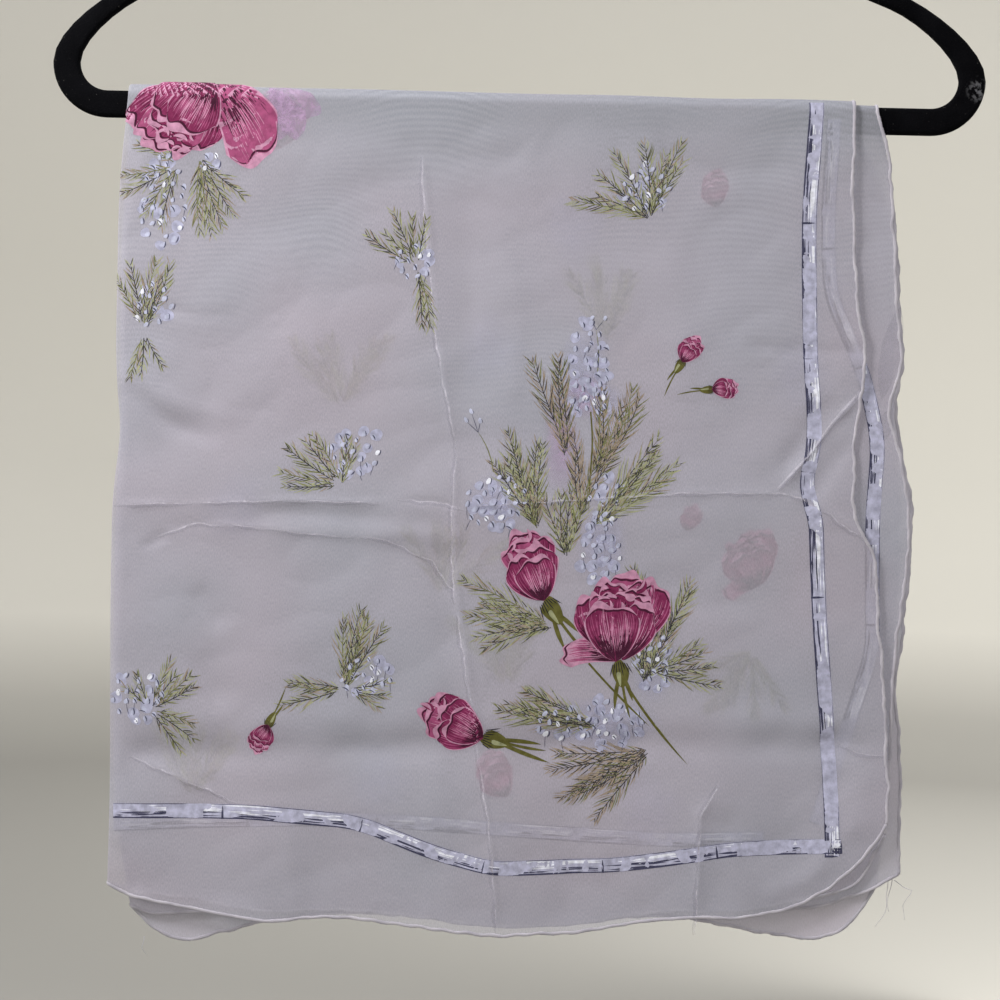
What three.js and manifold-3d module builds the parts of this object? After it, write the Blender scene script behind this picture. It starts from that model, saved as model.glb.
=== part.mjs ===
// A chiffon scarf, folded in half down its left side and hung over the bottom bar of a flocked
// coat hanger. Millimetres, +Z up, +X to the right, front at -Y. The origin is the inside top of
// the hook, where a rail carries it.

import * as THREE from "three";
import { mergeVertices } from "three/addons/utils/BufferGeometryUtils.js";
import Module from "manifold-3d";

// ---- Driving dimensions -------------------------------------------------------------------------

const GAP = 0.3; // between pieces that meet
const SAME_POINT = 1e-6;

// Hanger
const HANGER_WIDTH = 450;
const HANGER_HEIGHT = 235; // top of the hook's wire to the underside of the bar
const HANGER_THICK = 5.5;
const HANGER_EDGE = 2.2; // rounding of the flocked edges
const BAR_HEIGHT = 13;
const END_RADIUS = 26.5;
const CURVE_STEPS = 7;
// The outer and inner lines of the frame: each rises from the round end, bends over at its
// shoulder, "rise" above the bar's top, and runs up to the neck. Handles are how far each bend
// holds its direction, and slopes are in degrees.
const OUTER_LINE = {
  shoulder: { x: 188, rise: 52.4, slope: 27, handleDown: 18, handleUp: 60 },
  end: { handle: 14 },
  neck: { x: 8, z: -92, slope: 24, handle: 52 },
};
const INNER_LINE = {
  shoulder: { x: 178, rise: 47.8, slope: 22, handleDown: 15, handleUp: 55 },
  end: { handle: 11.5 },
  neck: { x: 12, z: -108, slope: 21, handle: 48 },
};
const NECK_TOP = -89;
const NECK_CHAMFER = 1;
const INNER_APEX = -104;
const HALF_TIP = 0.5; // half of the short flat where the two halves of an outline meet

// Hook
const WIRE = 3.6;
const HOOK_INSIDE = 20;
const HOOK_FROM = -50; // degrees, where the bow leaves the shank
const HOOK_TO = 205;
const SHANK_BEND = -62;
const SHANK_HANDLE = 12;
const BOW_HANDLE = 9;
const BORE_DEPTH = 13;
const WIRE_SIDES = 10;
const HOOK_STEPS = 44;

// Scarf
const CLOTH = 1; // wall of one layer
const HEM = 1.8; // rolled hem, across
const HEM_SIDES = 6;
const LAYER_GAP = 0.8; // air between the two layers of the folded scarf
const HANG_GAP = 0.55; // cloth to the bar's faces
const CLOSED_GAP = 0.9; // inner face to the middle plane once the layers fall together
const CLOSES_BY = 75; // depth below the bar's top where they have done so
const COLUMNS = 18;
const ROWS = 15;
const TOP_STEPS = 6;

const BAR_TOP = WIRE - HANGER_HEIGHT + BAR_HEIGHT;
const BAR_BOTTOM = BAR_TOP - BAR_HEIGHT;
const OVER_BAR = HANGER_THICK / 2 + HANG_GAP; // inner radius of the cloth round the bar's top
const TURN_DEPTH = HANGER_THICK / 2; // depth at which the cloth leaves the round of the bar
const LAYER_OUT = { inner: 0, outer: CLOTH + LAYER_GAP }; // each layer's face towards the bar
const FOLD_RADIUS = CLOTH + LAYER_GAP / 2;

// Finished side edges, by depth below the bar's top
const EDGES = table("depth frontLeft frontOuter frontInner backLeft backInner backOuter", [
  [0, -187.5, 162.5, 173.0, -187.5, 174.0, 171.0],
  [20, -189.0, 162.7, 178.5, -188.5, 179.7, 176.0],
  [50, -191.2, 163.2, 182.5, -190.0, 183.9, 181.0],
  [90, -191.5, 166.5, 185.5, -190.5, 187.0, 183.5],
  [130, -191.0, 170.2, 187.0, -190.0, 188.9, 185.0],
  [143, -190.2, 168.8, 183.5, -189.6, 186.5, 185.5],
  [165, -188.6, 166.4, 188.0, -189.0, 190.1, 187.0],
  [185, -190.2, 166.4, 191.5, -189.8, 193.6, 189.0],
  [200, -191.2, 168.2, 193.5, -190.5, 195.5, 190.0],
  [215, -191.4, 176.7, 193.5, -190.5, 195.1, 190.0],
  [240, -191.3, 179.3, 191.5, -190.5, 193.6, 189.0],
  [280, -190.7, 183.2, 187.5, -190.0, 189.7, 187.0],
  [320, -190.0, 185.7, 187.0, -189.0, 193.1, 186.0],
  [350, -189.6, 186.0, 185.0, -187.0, 193.0, 184.5],
  [380, -189.8, 186.0, 184.0, -182.0, 192.8, 182.0],
  [410, -189.8, 186.0, 184.0, -176.0, 192.8, 178.0],
]);

// Finished hems: depth below the bar's top, by share of the way across
const HEMS = table("across frontOuter frontInner backInner backOuter", [
  [0, 382.5, 382.5, 394.0, 394.0],
  [0.03, 388.5, 386.5, 398.0, 406.0],
  [0.06, 391.0, 388.0, 397.5, 410.5],
  [0.12, 394.5, 390.5, 395.5, 406.0],
  [0.19, 398.8, 394.5, 394.5, 399.8],
  [0.3, 396.8, 393.5, 394.0, 396.0],
  [0.4, 400.6, 396.0, 396.0, 397.0],
  [0.5, 403.4, 399.5, 398.0, 399.0],
  [0.6, 401.5, 398.0, 396.5, 398.0],
  [0.73, 393.1, 390.5, 390.5, 393.6],
  [0.82, 392.0, 389.5, 390.0, 398.5],
  [0.89, 385.5, 384.5, 387.5, 402.5],
  [0.94, 374.0, 379.5, 382.0, 402.0],
  [0.975, 360.0, 371.0, 376.0, 394.0],
  [1, 346.0, 351.0, 370.5, 376.0],
]);

// Soft upright folds: they start at a depth and grow to their height (+ is towards the front)
const UPRIGHT_FOLDS = table("x halfWidth starts height", [
  [-152, 24, 190, -1.5],
  [-116, 24, 150, 1.3],
  [-72, 28, 240, -1.2],
  [-9, 26, 170, 1.2],
  [40, 30, 200, -1.4],
  [92, 26, 260, 1.7],
  [137, 23, 280, -1.6],
  [174, 22, 250, 1.7],
]);

// Level folds, right across
const LEVEL_FOLDS = table("depth halfHeight height", [
  [196, 20, 0.9],
  [313, 24, -1.0],
]);

// ---- Tables and small helpers -------------------------------------------------------------------

function table(columns, rows) {
  const names = columns.split(" ");
  return rows.map((row) => Object.fromEntries(names.map((name, i) => [name, row[i]])));
}

/** Reads a column at any key, straight between the rows. */
function lookUp(rows, key, column, value) {
  const next = rows.findIndex((row) => row[key] >= value);
  if (next === 0) return rows[0][column];
  if (next < 0) return rows[rows.length - 1][column];
  const [low, high] = [rows[next - 1], rows[next]];
  const share = (value - low[key]) / (high[key] - low[key]);
  return THREE.MathUtils.lerp(low[column], high[column], share);
}

function bump(distance, halfWidth) {
  return Math.exp(-((distance / halfWidth) ** 2));
}

const { smoothstep, degToRad, lerp } = THREE.MathUtils;

/** Sideways swing of all layers together at a place on the scarf. */
function swing(x, depth) {
  const settled = smoothstep(depth, 10, 80);
  let out = 0;
  for (const fold of UPRIGHT_FOLDS) {
    out += fold.height * bump(x - fold.x, fold.halfWidth) * smoothstep(depth, fold.starts, 400);
  }
  for (const fold of LEVEL_FOLDS) out += fold.height * bump(depth - fold.depth, fold.halfHeight);
  return -out * settled;
}

function halfOpen(depth) {
  return lerp(OVER_BAR, CLOSED_GAP, smoothstep(depth, BAR_HEIGHT + 3, CLOSES_BY));
}

/** A closed solid from rings of points, each ring a closed outline, capped at both ends. */
function solidFromRings(rings, capPlane) {
  const count = rings[0].length;
  const positions = rings.flat().flatMap((p) => [p.x, p.y, p.z]);
  const faces = [];
  for (let ring = 0; ring + 1 < rings.length; ring++) {
    for (let i = 0; i < count; i++) {
      const a = ring * count + i;
      const b = ring * count + ((i + 1) % count);
      faces.push([a, b, b + count], [a, b + count, a + count]);
    }
  }
  const cap = THREE.ShapeUtils.triangulateShape(rings[0].map(capPlane), []);
  const turned = THREE.ShapeUtils.isClockWise(rings[0].map(capPlane));
  const last = (rings.length - 1) * count;
  for (const [a, b, c] of cap) {
    const face = turned ? [c, b, a] : [a, b, c];
    faces.push([face[2], face[1], face[0]], [face[0] + last, face[1] + last, face[2] + last]);
  }
  return facingOut(positions, faces);
}

function facingOut(positions, faces) {
  const at = (i) => new THREE.Vector3().fromArray(positions, 3 * i);
  const volume = faces.reduce((sum, [a, b, c]) => sum + at(a).dot(at(b).cross(at(c))), 0);
  const geometry = new THREE.BufferGeometry();
  geometry.setAttribute("position", new THREE.Float32BufferAttribute(positions, 3));
  geometry.setIndex(faces.flatMap(([a, b, c]) => (volume > 0 ? [a, b, c] : [a, c, b])));
  geometry.computeVertexNormals();
  return geometry;
}

// ---- The scarf's three stretches: down the front, over the bar, down the back --------------------

const STRETCHES = {
  front: {
    left: "frontLeft",
    layers: { outer: "frontOuter", inner: "frontInner" },
    steps: ROWS,
    at: (depth, x, out) =>
      new THREE.Vector3(x, swing(x, depth) - halfOpen(depth) - out, BAR_TOP - depth),
  },
  top: { steps: TOP_STEPS },
  back: {
    left: "backLeft",
    layers: { outer: "backOuter", inner: "backInner" },
    steps: ROWS,
    at: (depth, x, out) =>
      new THREE.Vector3(x, swing(x, depth) + halfOpen(depth) + out, BAR_TOP - depth),
  },
};

/** A place over the bar: share runs from the front (0) to the back (1). */
function overBar(share, x, out) {
  const radius = OVER_BAR + out;
  const angle = Math.PI * share;
  const z = BAR_TOP - TURN_DEPTH + radius * Math.sin(angle);
  return new THREE.Vector3(x, -radius * Math.cos(angle), z);
}

function edgeAt(column, depth) {
  return lookUp(EDGES, "depth", column, depth);
}

/** The side edges of a stretch's layer at a place along it, where its cloth ends. */
function sidesAt(stretch, layer, along) {
  const inset = { left: FOLD_RADIUS + GAP, right: HEM + GAP };
  if (stretch === "top") {
    const { front, back } = STRETCHES;
    const [start, end] = [front.layers[layer], back.layers[layer]];
    return {
      left: edgeAt(front.left, 0) + inset.left,
      right: lerp(edgeAt(start, 0), edgeAt(end, 0), along) - inset.right,
    };
  }
  const { left, layers } = STRETCHES[stretch];
  return {
    left: edgeAt(left, along) + inset.left,
    right: edgeAt(layers[layer], along) - inset.right,
  };
}

/** Share of the way across for a column, closer together towards the edges. */
function acrossAt(column) {
  const even = column / COLUMNS;
  return lerp(even, (1 - Math.cos(Math.PI * even)) / 2, 0.6);
}

/** How far along a stretch a step lies: depth on a leaf, share of the turn over the bar. */
function alongAt(stretch, layer, across, share) {
  if (stretch === "top") {
    const seam = GAP / 2 / (Math.PI * OVER_BAR);
    return lerp(seam, 1 - seam, share);
  }
  const hem = lookUp(HEMS, "across", STRETCHES[stretch].layers[layer], across);
  return lerp(TURN_DEPTH + GAP / 2, hem - HEM - GAP, share);
}

function placeOn(stretch, along, x, out) {
  return stretch === "top" ? overBar(along, x, out) : STRETCHES[stretch].at(along, x, out);
}

/** One layer of one stretch: a wall between its bar-side face and its outer face. */
function clothPanel(stretch, layer) {
  const { steps } = STRETCHES[stretch];
  const near = LAYER_OUT[layer];
  const across = Array.from({ length: COLUMNS + 1 }, (_, column) => acrossAt(column));
  const rings = [];
  for (let step = 0; step <= steps; step++) {
    const face = (out) =>
      across.map((share) => {
        const along = alongAt(stretch, layer, share, step / steps);
        const { left, right } = sidesAt(stretch, layer, along);
        return placeOn(stretch, along, lerp(left, right, share), out);
      });
    rings.push([...face(near), ...face(near + CLOTH).reverse()]);
  }
  return sheetFromRings(rings, across.length);
}

/** A wall from rings that run along one face and back along the other. */
function sheetFromRings(rings, width) {
  const count = rings[0].length;
  const positions = rings.flat().flatMap((p) => [p.x, p.y, p.z]);
  const faces = [];
  for (let ring = 0; ring + 1 < rings.length; ring++) {
    for (let i = 0; i < count; i++) {
      const a = ring * count + i;
      const b = ring * count + ((i + 1) % count);
      faces.push([a, b, b + count], [a, b + count, a + count]);
    }
  }
  const last = (rings.length - 1) * count;
  for (let i = 0; i + 1 < width; i++) {
    const [a, b, c, d] = [i, i + 1, count - 2 - i, count - 1 - i];
    faces.push([a, c, b], [a, d, c]);
    faces.push([a + last, b + last, c + last], [a + last, c + last, d + last]);
  }
  return facingOut(positions, faces);
}

/** The ring of a hem's section: a hexagon across the edge it finishes. */
function hemRing(centre, aside, outwards) {
  const thick = CLOTH / 2 + GAP / 3;
  return Array.from({ length: HEM_SIDES }, (_, side) => {
    const angle = (2 * Math.PI * (side + 0.5)) / HEM_SIDES;
    const ring = centre.clone().addScaledVector(aside, (HEM / 2) * Math.cos(angle));
    return ring.addScaledVector(outwards, thick * Math.sin(angle));
  });
}

/** Where a leaf's cloth ends, down its right side or along its bottom, as {x, depth} points. */
function clothEdge(stretch, layer, bottom) {
  const steps = bottom ? COLUMNS : ROWS;
  const points = Array.from({ length: steps + 1 }, (_, i) => {
    const across = bottom ? acrossAt(i) : 1;
    const depth = alongAt(stretch, layer, across, bottom ? 1 : i / steps);
    const { left, right } = sidesAt(stretch, layer, depth);
    return new THREE.Vector2(lerp(left, right, across), depth);
  });
  const end = points[steps];
  end.addScaledVector(points[steps - 1].clone().sub(end).normalize(), GAP);
  return points;
}

/** The rolled hem down the right-hand side or along the bottom of one leaf. */
function leafHem(stretch, layer, bottom) {
  const middle = LAYER_OUT[layer] + CLOTH / 2;
  const edge = clothEdge(stretch, layer, bottom);
  const rings = edge.map((point, i) => {
    const run = edge[Math.min(i + 1, edge.length - 1)].clone().sub(edge[Math.max(i - 1, 0)]);
    const away = new THREE.Vector2(run.y, -run.x).normalize();
    if (bottom) away.negate();
    else if (i === 0) away.set(1, 0); // meets the hem over the bar squarely
    const line = point.clone().addScaledVector(away, GAP + HEM / 2);
    const centre = STRETCHES[stretch].at(line.y, line.x, middle);
    return hemRing(centre, new THREE.Vector3(away.x, 0, -away.y), TOWARDS_BACK);
  });
  return solidFromRings(rings, (p) => new THREE.Vector2(bottom ? p.z : p.x, p.y));
}

const TOWARDS_BACK = new THREE.Vector3(0, 1, 0);
const SIDEWAYS = new THREE.Vector3(1, 0, 0);

/** The rolled hem where the right-hand edge of a layer crosses the bar. */
function topHem(layer) {
  const middle = LAYER_OUT[layer] + CLOTH / 2;
  const rings = Array.from({ length: TOP_STEPS + 1 }, (_, step) => {
    const share = alongAt("top", layer, 1, step / TOP_STEPS);
    const x = sidesAt("top", layer, share).right + GAP + HEM / 2;
    const outwards = overBar(share, x, 1).sub(overBar(share, x, 0));
    return hemRing(overBar(share, x, middle), SIDEWAYS, outwards);
  });
  return solidFromRings(rings, (p) => new THREE.Vector2(p.x, p.z));
}

/** The soft fold at the left, where the outer layer turns under into the inner one. */
function sideFold(stretch) {
  const { steps } = STRETCHES[stretch];
  const middle = CLOTH + LAYER_GAP / 2;
  const arc = (radius, points) =>
    Array.from({ length: points }, (_, i) => {
      const angle = (Math.PI * i) / (points - 1);
      return { aside: -radius * Math.sin(angle), out: radius * Math.cos(angle) };
    });
  const section = [...arc(FOLD_RADIUS, 6), ...arc(LAYER_GAP / 2, 4).reverse()];
  const rings = [];
  for (let step = 0; step <= steps; step++) {
    const along = alongAt(stretch, "inner", 0, step / steps);
    const x = sidesAt(stretch, "inner", along).left - GAP;
    rings.push(section.map(({ aside, out }) => placeOn(stretch, along, x + aside, middle + out)));
  }
  const level = stretch !== "top";
  return solidFromRings(rings, (p) => new THREE.Vector2(p.x, level ? p.y : p.z));
}

// ---- Hanger -------------------------------------------------------------------------------------

/** A cubic from one end to the other that leaves and arrives along the given directions. */
function bendTo(shape, end, firstHandle, lastHandle) {
  shape.bezierCurveTo(firstHandle.x, firstHandle.y, lastHandle.x, lastHandle.y, end.x, end.y);
}

function along(point, degrees, distance) {
  const angle = degToRad(degrees);
  const step = new THREE.Vector2(Math.cos(angle), Math.sin(angle)).multiplyScalar(distance);
  return new THREE.Vector2(point.x, point.y).add(step);
}

/** Half of a closed outline from the bar's middle to the neck, mirrored for the other half. */
function mirroredOutline(half) {
  const points = half.getPoints(CURVE_STEPS);
  const mirrored = points.map((p) => new THREE.Vector2(-p.x, p.y)).reverse();
  const apart = (p, i, all) => i === 0 || p.distanceTo(all[i - 1]) > SAME_POINT;
  return [...points, ...mirrored].filter(apart);
}

/** One side of the frame's outline, from the middle of the bar to the start of the neck. */
function halfOutline(line, barLevel, radius) {
  const endX = HANGER_WIDTH / 2 - END_RADIUS;
  const endZ = barLevel + radius;
  const { shoulder, end, neck } = line;
  const bend = new THREE.Vector2(shoulder.x, BAR_TOP + shoulder.rise);
  const widest = new THREE.Vector2(endX + radius, endZ);
  const top = new THREE.Vector2(neck.x, neck.z);
  const half = new THREE.Path();
  half.moveTo(0, barLevel).lineTo(endX, barLevel);
  half.absarc(endX, endZ, radius, -Math.PI / 2, 0, false);
  const down = along(bend, -shoulder.slope, shoulder.handleDown);
  bendTo(half, bend, along(widest, 90, end.handle), down);
  const up = along(bend, 180 - shoulder.slope, shoulder.handleUp);
  bendTo(half, top, up, along(top, -neck.slope, neck.handle));
  return half;
}

function outerHalf() {
  const half = halfOutline(OUTER_LINE, BAR_BOTTOM, END_RADIUS);
  return half.lineTo(OUTER_LINE.neck.x - NECK_CHAMFER, NECK_TOP).lineTo(HALF_TIP, NECK_TOP);
}

function innerHalf() {
  const half = halfOutline(INNER_LINE, BAR_TOP, END_RADIUS - BAR_HEIGHT);
  const { x } = INNER_LINE.neck;
  return half.quadraticCurveTo(x / 2, INNER_APEX, HALF_TIP, INNER_APEX);
}

const wasm = await Module();
wasm.setup();

function toSolid(geometry) {
  const bare = geometry.clone();
  bare.deleteAttribute("normal");
  bare.deleteAttribute("uv");
  const merged = mergeVertices(bare);
  const vertProperties = new Float32Array(merged.attributes.position.array);
  const triVerts = new Uint32Array(merged.index.array);
  return new wasm.Manifold(new wasm.Mesh({ numProp: 3, vertProperties, triVerts }));
}

function toGeometry(solid) {
  const mesh = solid.getMesh();
  const geometry = new THREE.BufferGeometry();
  geometry.setAttribute("position", new THREE.BufferAttribute(mesh.vertProperties, 3));
  geometry.setIndex(new THREE.BufferAttribute(mesh.triVerts, 1));
  geometry.computeVertexNormals();
  return geometry;
}

/** The flocked frame: an outline with a hole, soft edges and a bore in its neck for the hook. */
function hangerBody() {
  const shape = new THREE.Shape(mirroredOutline(outerHalf()));
  shape.holes.push(new THREE.Path(mirroredOutline(innerHalf())));
  const geometry = new THREE.ExtrudeGeometry(shape, {
    depth: HANGER_THICK - 2 * HANGER_EDGE,
    bevelThickness: HANGER_EDGE,
    bevelSize: HANGER_EDGE,
    bevelOffset: -HANGER_EDGE,
    bevelSegments: 3,
    curveSegments: CURVE_STEPS,
  });
  geometry.translate(0, 0, HANGER_EDGE - HANGER_THICK / 2);
  geometry.rotateX(Math.PI / 2);
  const bore = new THREE.CylinderGeometry(WIRE / 2 + GAP, WIRE / 2 + GAP, 2 * BORE_DEPTH, 16);
  bore.rotateX(Math.PI / 2);
  bore.translate(0, 0, NECK_TOP);
  return toGeometry(toSolid(geometry).subtract(toSolid(bore)));
}

/** The hook's middle line: up the shank, a bend to the right, then the bow over the rail. */
class HookLine extends THREE.Curve {
  constructor() {
    super();
    const radius = HOOK_INSIDE + WIRE / 2;
    const from = degToRad(HOOK_FROM);
    const foot = new THREE.Vector2(radius * Math.cos(from), radius * Math.sin(from) - HOOK_INSIDE);
    const path = new THREE.Path();
    path.moveTo(0, NECK_TOP - BORE_DEPTH + GAP).lineTo(0, SHANK_BEND);
    const up = new THREE.Vector2(0, SHANK_BEND + SHANK_HANDLE);
    bendTo(path, foot, up, along(foot, HOOK_FROM - 90, BOW_HANDLE));
    path.absarc(0, -HOOK_INSIDE, radius, from, degToRad(HOOK_TO), false);
    this.path = path;
  }

  getPoint(share, target = new THREE.Vector3()) {
    const { x, y } = this.path.getPointAt(share);
    return target.set(x, 0, y);
  }
}

function hook() {
  const section = new THREE.Shape().absarc(0, 0, WIRE / 2, 0, 2 * Math.PI, false);
  return new THREE.ExtrudeGeometry(section, {
    steps: HOOK_STEPS,
    curveSegments: WIRE_SIDES / 2,
    extrudePath: new HookLine(),
    bevelEnabled: false,
  });
}

// ---- Pieces -------------------------------------------------------------------------------------

const FINISHES = {
  flock: { color: 0x17171a, roughness: 0.95, metalness: 0 },
  wire: { color: 0xb9bcc0, roughness: 0.25, metalness: 1 },
  chiffon: { color: 0xaca8b2, roughness: 0.8, metalness: 0 },
  hem: { color: 0xbdb9c4, roughness: 0.8, metalness: 0 },
};

const object = new THREE.Group();

function add(name, geometry, finish) {
  const mesh = new THREE.Mesh(geometry, new THREE.MeshStandardMaterial(FINISHES[finish]));
  mesh.name = name;
  object.add(mesh);
}

add("hanger_body", hangerBody(), "flock");
add("hanger_hook", hook(), "wire");
for (const stretch of Object.keys(STRETCHES)) {
  for (const layer of Object.keys(LAYER_OUT)) {
    add(`${stretch}_${layer}`, clothPanel(stretch, layer), "chiffon");
    if (stretch === "top") {
      add(`top_${layer}_side_hem`, topHem(layer), "hem");
    } else {
      add(`${stretch}_${layer}_side_hem`, leafHem(stretch, layer, false), "hem");
      add(`${stretch}_${layer}_bottom_hem`, leafHem(stretch, layer, true), "hem");
    }
  }
  add(`${stretch}_left_fold`, sideFold(stretch), "chiffon");
}

export default object;
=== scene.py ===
"""A printed chiffon square, folded in half and hung over the bar of a flocked coat hanger.

Cloth places are worked out on the flat cut, in millimetres: aside runs from the soft fold at the left
(0) across the outer layer (+) or the inner layer (-), and run goes from the bar's crest (0) down the
front (+) or down the back (-). place() hangs any such point, and every cloth piece goes through it.
"""

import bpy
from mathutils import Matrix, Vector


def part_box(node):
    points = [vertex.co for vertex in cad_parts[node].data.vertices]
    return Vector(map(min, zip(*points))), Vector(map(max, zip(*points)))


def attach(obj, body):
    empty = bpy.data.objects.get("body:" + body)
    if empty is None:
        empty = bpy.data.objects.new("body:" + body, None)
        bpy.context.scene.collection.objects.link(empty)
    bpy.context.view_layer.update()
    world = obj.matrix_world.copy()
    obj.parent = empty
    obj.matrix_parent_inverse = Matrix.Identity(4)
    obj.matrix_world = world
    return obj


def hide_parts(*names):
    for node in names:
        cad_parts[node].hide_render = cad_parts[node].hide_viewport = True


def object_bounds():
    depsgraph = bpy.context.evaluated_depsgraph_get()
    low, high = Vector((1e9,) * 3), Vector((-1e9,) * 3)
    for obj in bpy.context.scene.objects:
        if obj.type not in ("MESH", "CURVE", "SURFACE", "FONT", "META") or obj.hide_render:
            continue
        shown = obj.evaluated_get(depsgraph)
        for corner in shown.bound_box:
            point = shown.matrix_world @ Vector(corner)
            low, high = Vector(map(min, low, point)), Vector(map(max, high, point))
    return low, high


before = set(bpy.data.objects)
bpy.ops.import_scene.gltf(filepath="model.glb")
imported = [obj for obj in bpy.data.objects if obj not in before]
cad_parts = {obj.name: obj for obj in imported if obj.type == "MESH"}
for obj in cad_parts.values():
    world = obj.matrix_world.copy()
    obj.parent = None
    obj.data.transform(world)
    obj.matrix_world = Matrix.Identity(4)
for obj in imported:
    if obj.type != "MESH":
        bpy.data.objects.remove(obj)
cad_box = [list(corner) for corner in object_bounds()]

import math
import random

import bmesh
import bpy
import numpy as np
from mathutils import Vector

MM = 0.001

# ---- Sizes, as the solids have them (mm) ----------------------------------------------------------
BAR_HEIGHT = 13.0
HANGER_THICK = 5.5
HANG_GAP = 0.55
CLOSED_GAP = 0.9
CLOSES_BY = 75.0
OVER_BAR = HANGER_THICK / 2 + HANG_GAP
TURN_DEPTH = HANGER_THICK / 2
MIDDLE = 1.4          # from the bar-side face of the inner wall to midway between the layers
FOLD_RADIUS = 0.9
HEM = 1.7
TURN_RADIUS = OVER_BAR + MIDDLE
QUARTER = TURN_RADIUS * math.pi / 2
BAR_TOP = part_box("hanger_body")[0][2] / MM + BAR_HEIGHT
FOLD_LINE = -190.0    # where the left fold hangs, on the whole
FLOOR = cad_box[0][2] - 0.22  # metres


def table(columns, *rows):
    """A short table as named columns."""
    return {name: np.array(column, float) for name, column in zip(columns.split(), zip(*rows))}


EDGES = table(
    "depth left_front outer_front inner_front left_back inner_back outer_back",
    (0, -187.5, 162.5, 173.0, -187.5, 174.0, 171.0),
    (20, -189.0, 162.7, 178.5, -188.5, 179.7, 176.0),
    (50, -191.2, 163.2, 182.5, -190.0, 183.9, 181.0),
    (90, -191.5, 166.5, 185.5, -190.5, 187.0, 183.5),
    (130, -191.0, 170.2, 187.0, -190.0, 188.9, 185.0),
    (143, -190.2, 168.8, 183.5, -189.6, 186.5, 185.5),
    (165, -188.6, 166.4, 188.0, -189.0, 190.1, 187.0),
    (185, -190.2, 166.4, 191.5, -189.8, 193.6, 189.0),
    (200, -191.2, 168.2, 193.5, -190.5, 195.5, 190.0),
    (215, -191.4, 176.7, 193.5, -190.5, 195.1, 190.0),
    (240, -191.3, 179.3, 191.5, -190.5, 193.6, 189.0),
    (280, -190.7, 183.2, 187.5, -190.0, 189.7, 187.0),
    (320, -190.0, 185.7, 187.0, -189.0, 193.1, 186.0),
    (350, -189.6, 186.0, 185.0, -187.0, 193.0, 184.5),
    (380, -189.8, 186.0, 184.0, -182.0, 192.8, 182.0),
    (410, -189.8, 186.0, 184.0, -176.0, 192.8, 178.0),
)

HEMS = table(
    "across outer_front inner_front inner_back outer_back",
    (0, 382.5, 382.5, 394.0, 394.0),
    (0.03, 388.5, 386.5, 398.0, 406.0),
    (0.06, 391.0, 388.0, 397.5, 410.5),
    (0.12, 394.5, 390.5, 395.5, 406.0),
    (0.19, 398.8, 394.5, 394.5, 399.8),
    (0.3, 396.8, 393.5, 394.0, 396.0),
    (0.4, 400.6, 396.0, 396.0, 397.0),
    (0.5, 403.4, 399.5, 398.0, 399.0),
    (0.6, 401.5, 398.0, 396.5, 398.0),
    (0.73, 393.1, 390.5, 390.5, 393.6),
    (0.82, 392.0, 389.5, 390.0, 398.5),
    (0.89, 385.5, 384.5, 387.5, 402.5),
    (0.94, 374.0, 379.5, 382.0, 402.0),
    (0.975, 360.0, 371.0, 376.0, 394.0),
    (1, 346.0, 351.0, 370.5, 376.0),
)

UPRIGHT_FOLDS = table(
    "x half_width starts height",
    (-152, 24, 190, -1.5),
    (-116, 24, 150, 1.3),
    (-72, 28, 240, -1.2),
    (-9, 26, 170, 1.2),
    (40, 30, 200, -1.4),
    (92, 26, 260, 1.7),
    (137, 23, 280, -1.6),
    (174, 22, 250, 1.7),
)

LEVEL_FOLDS = table(
    "depth half_height height",
    (196, 20, 0.9),
    (313, 24, -1.0),
)

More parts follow.
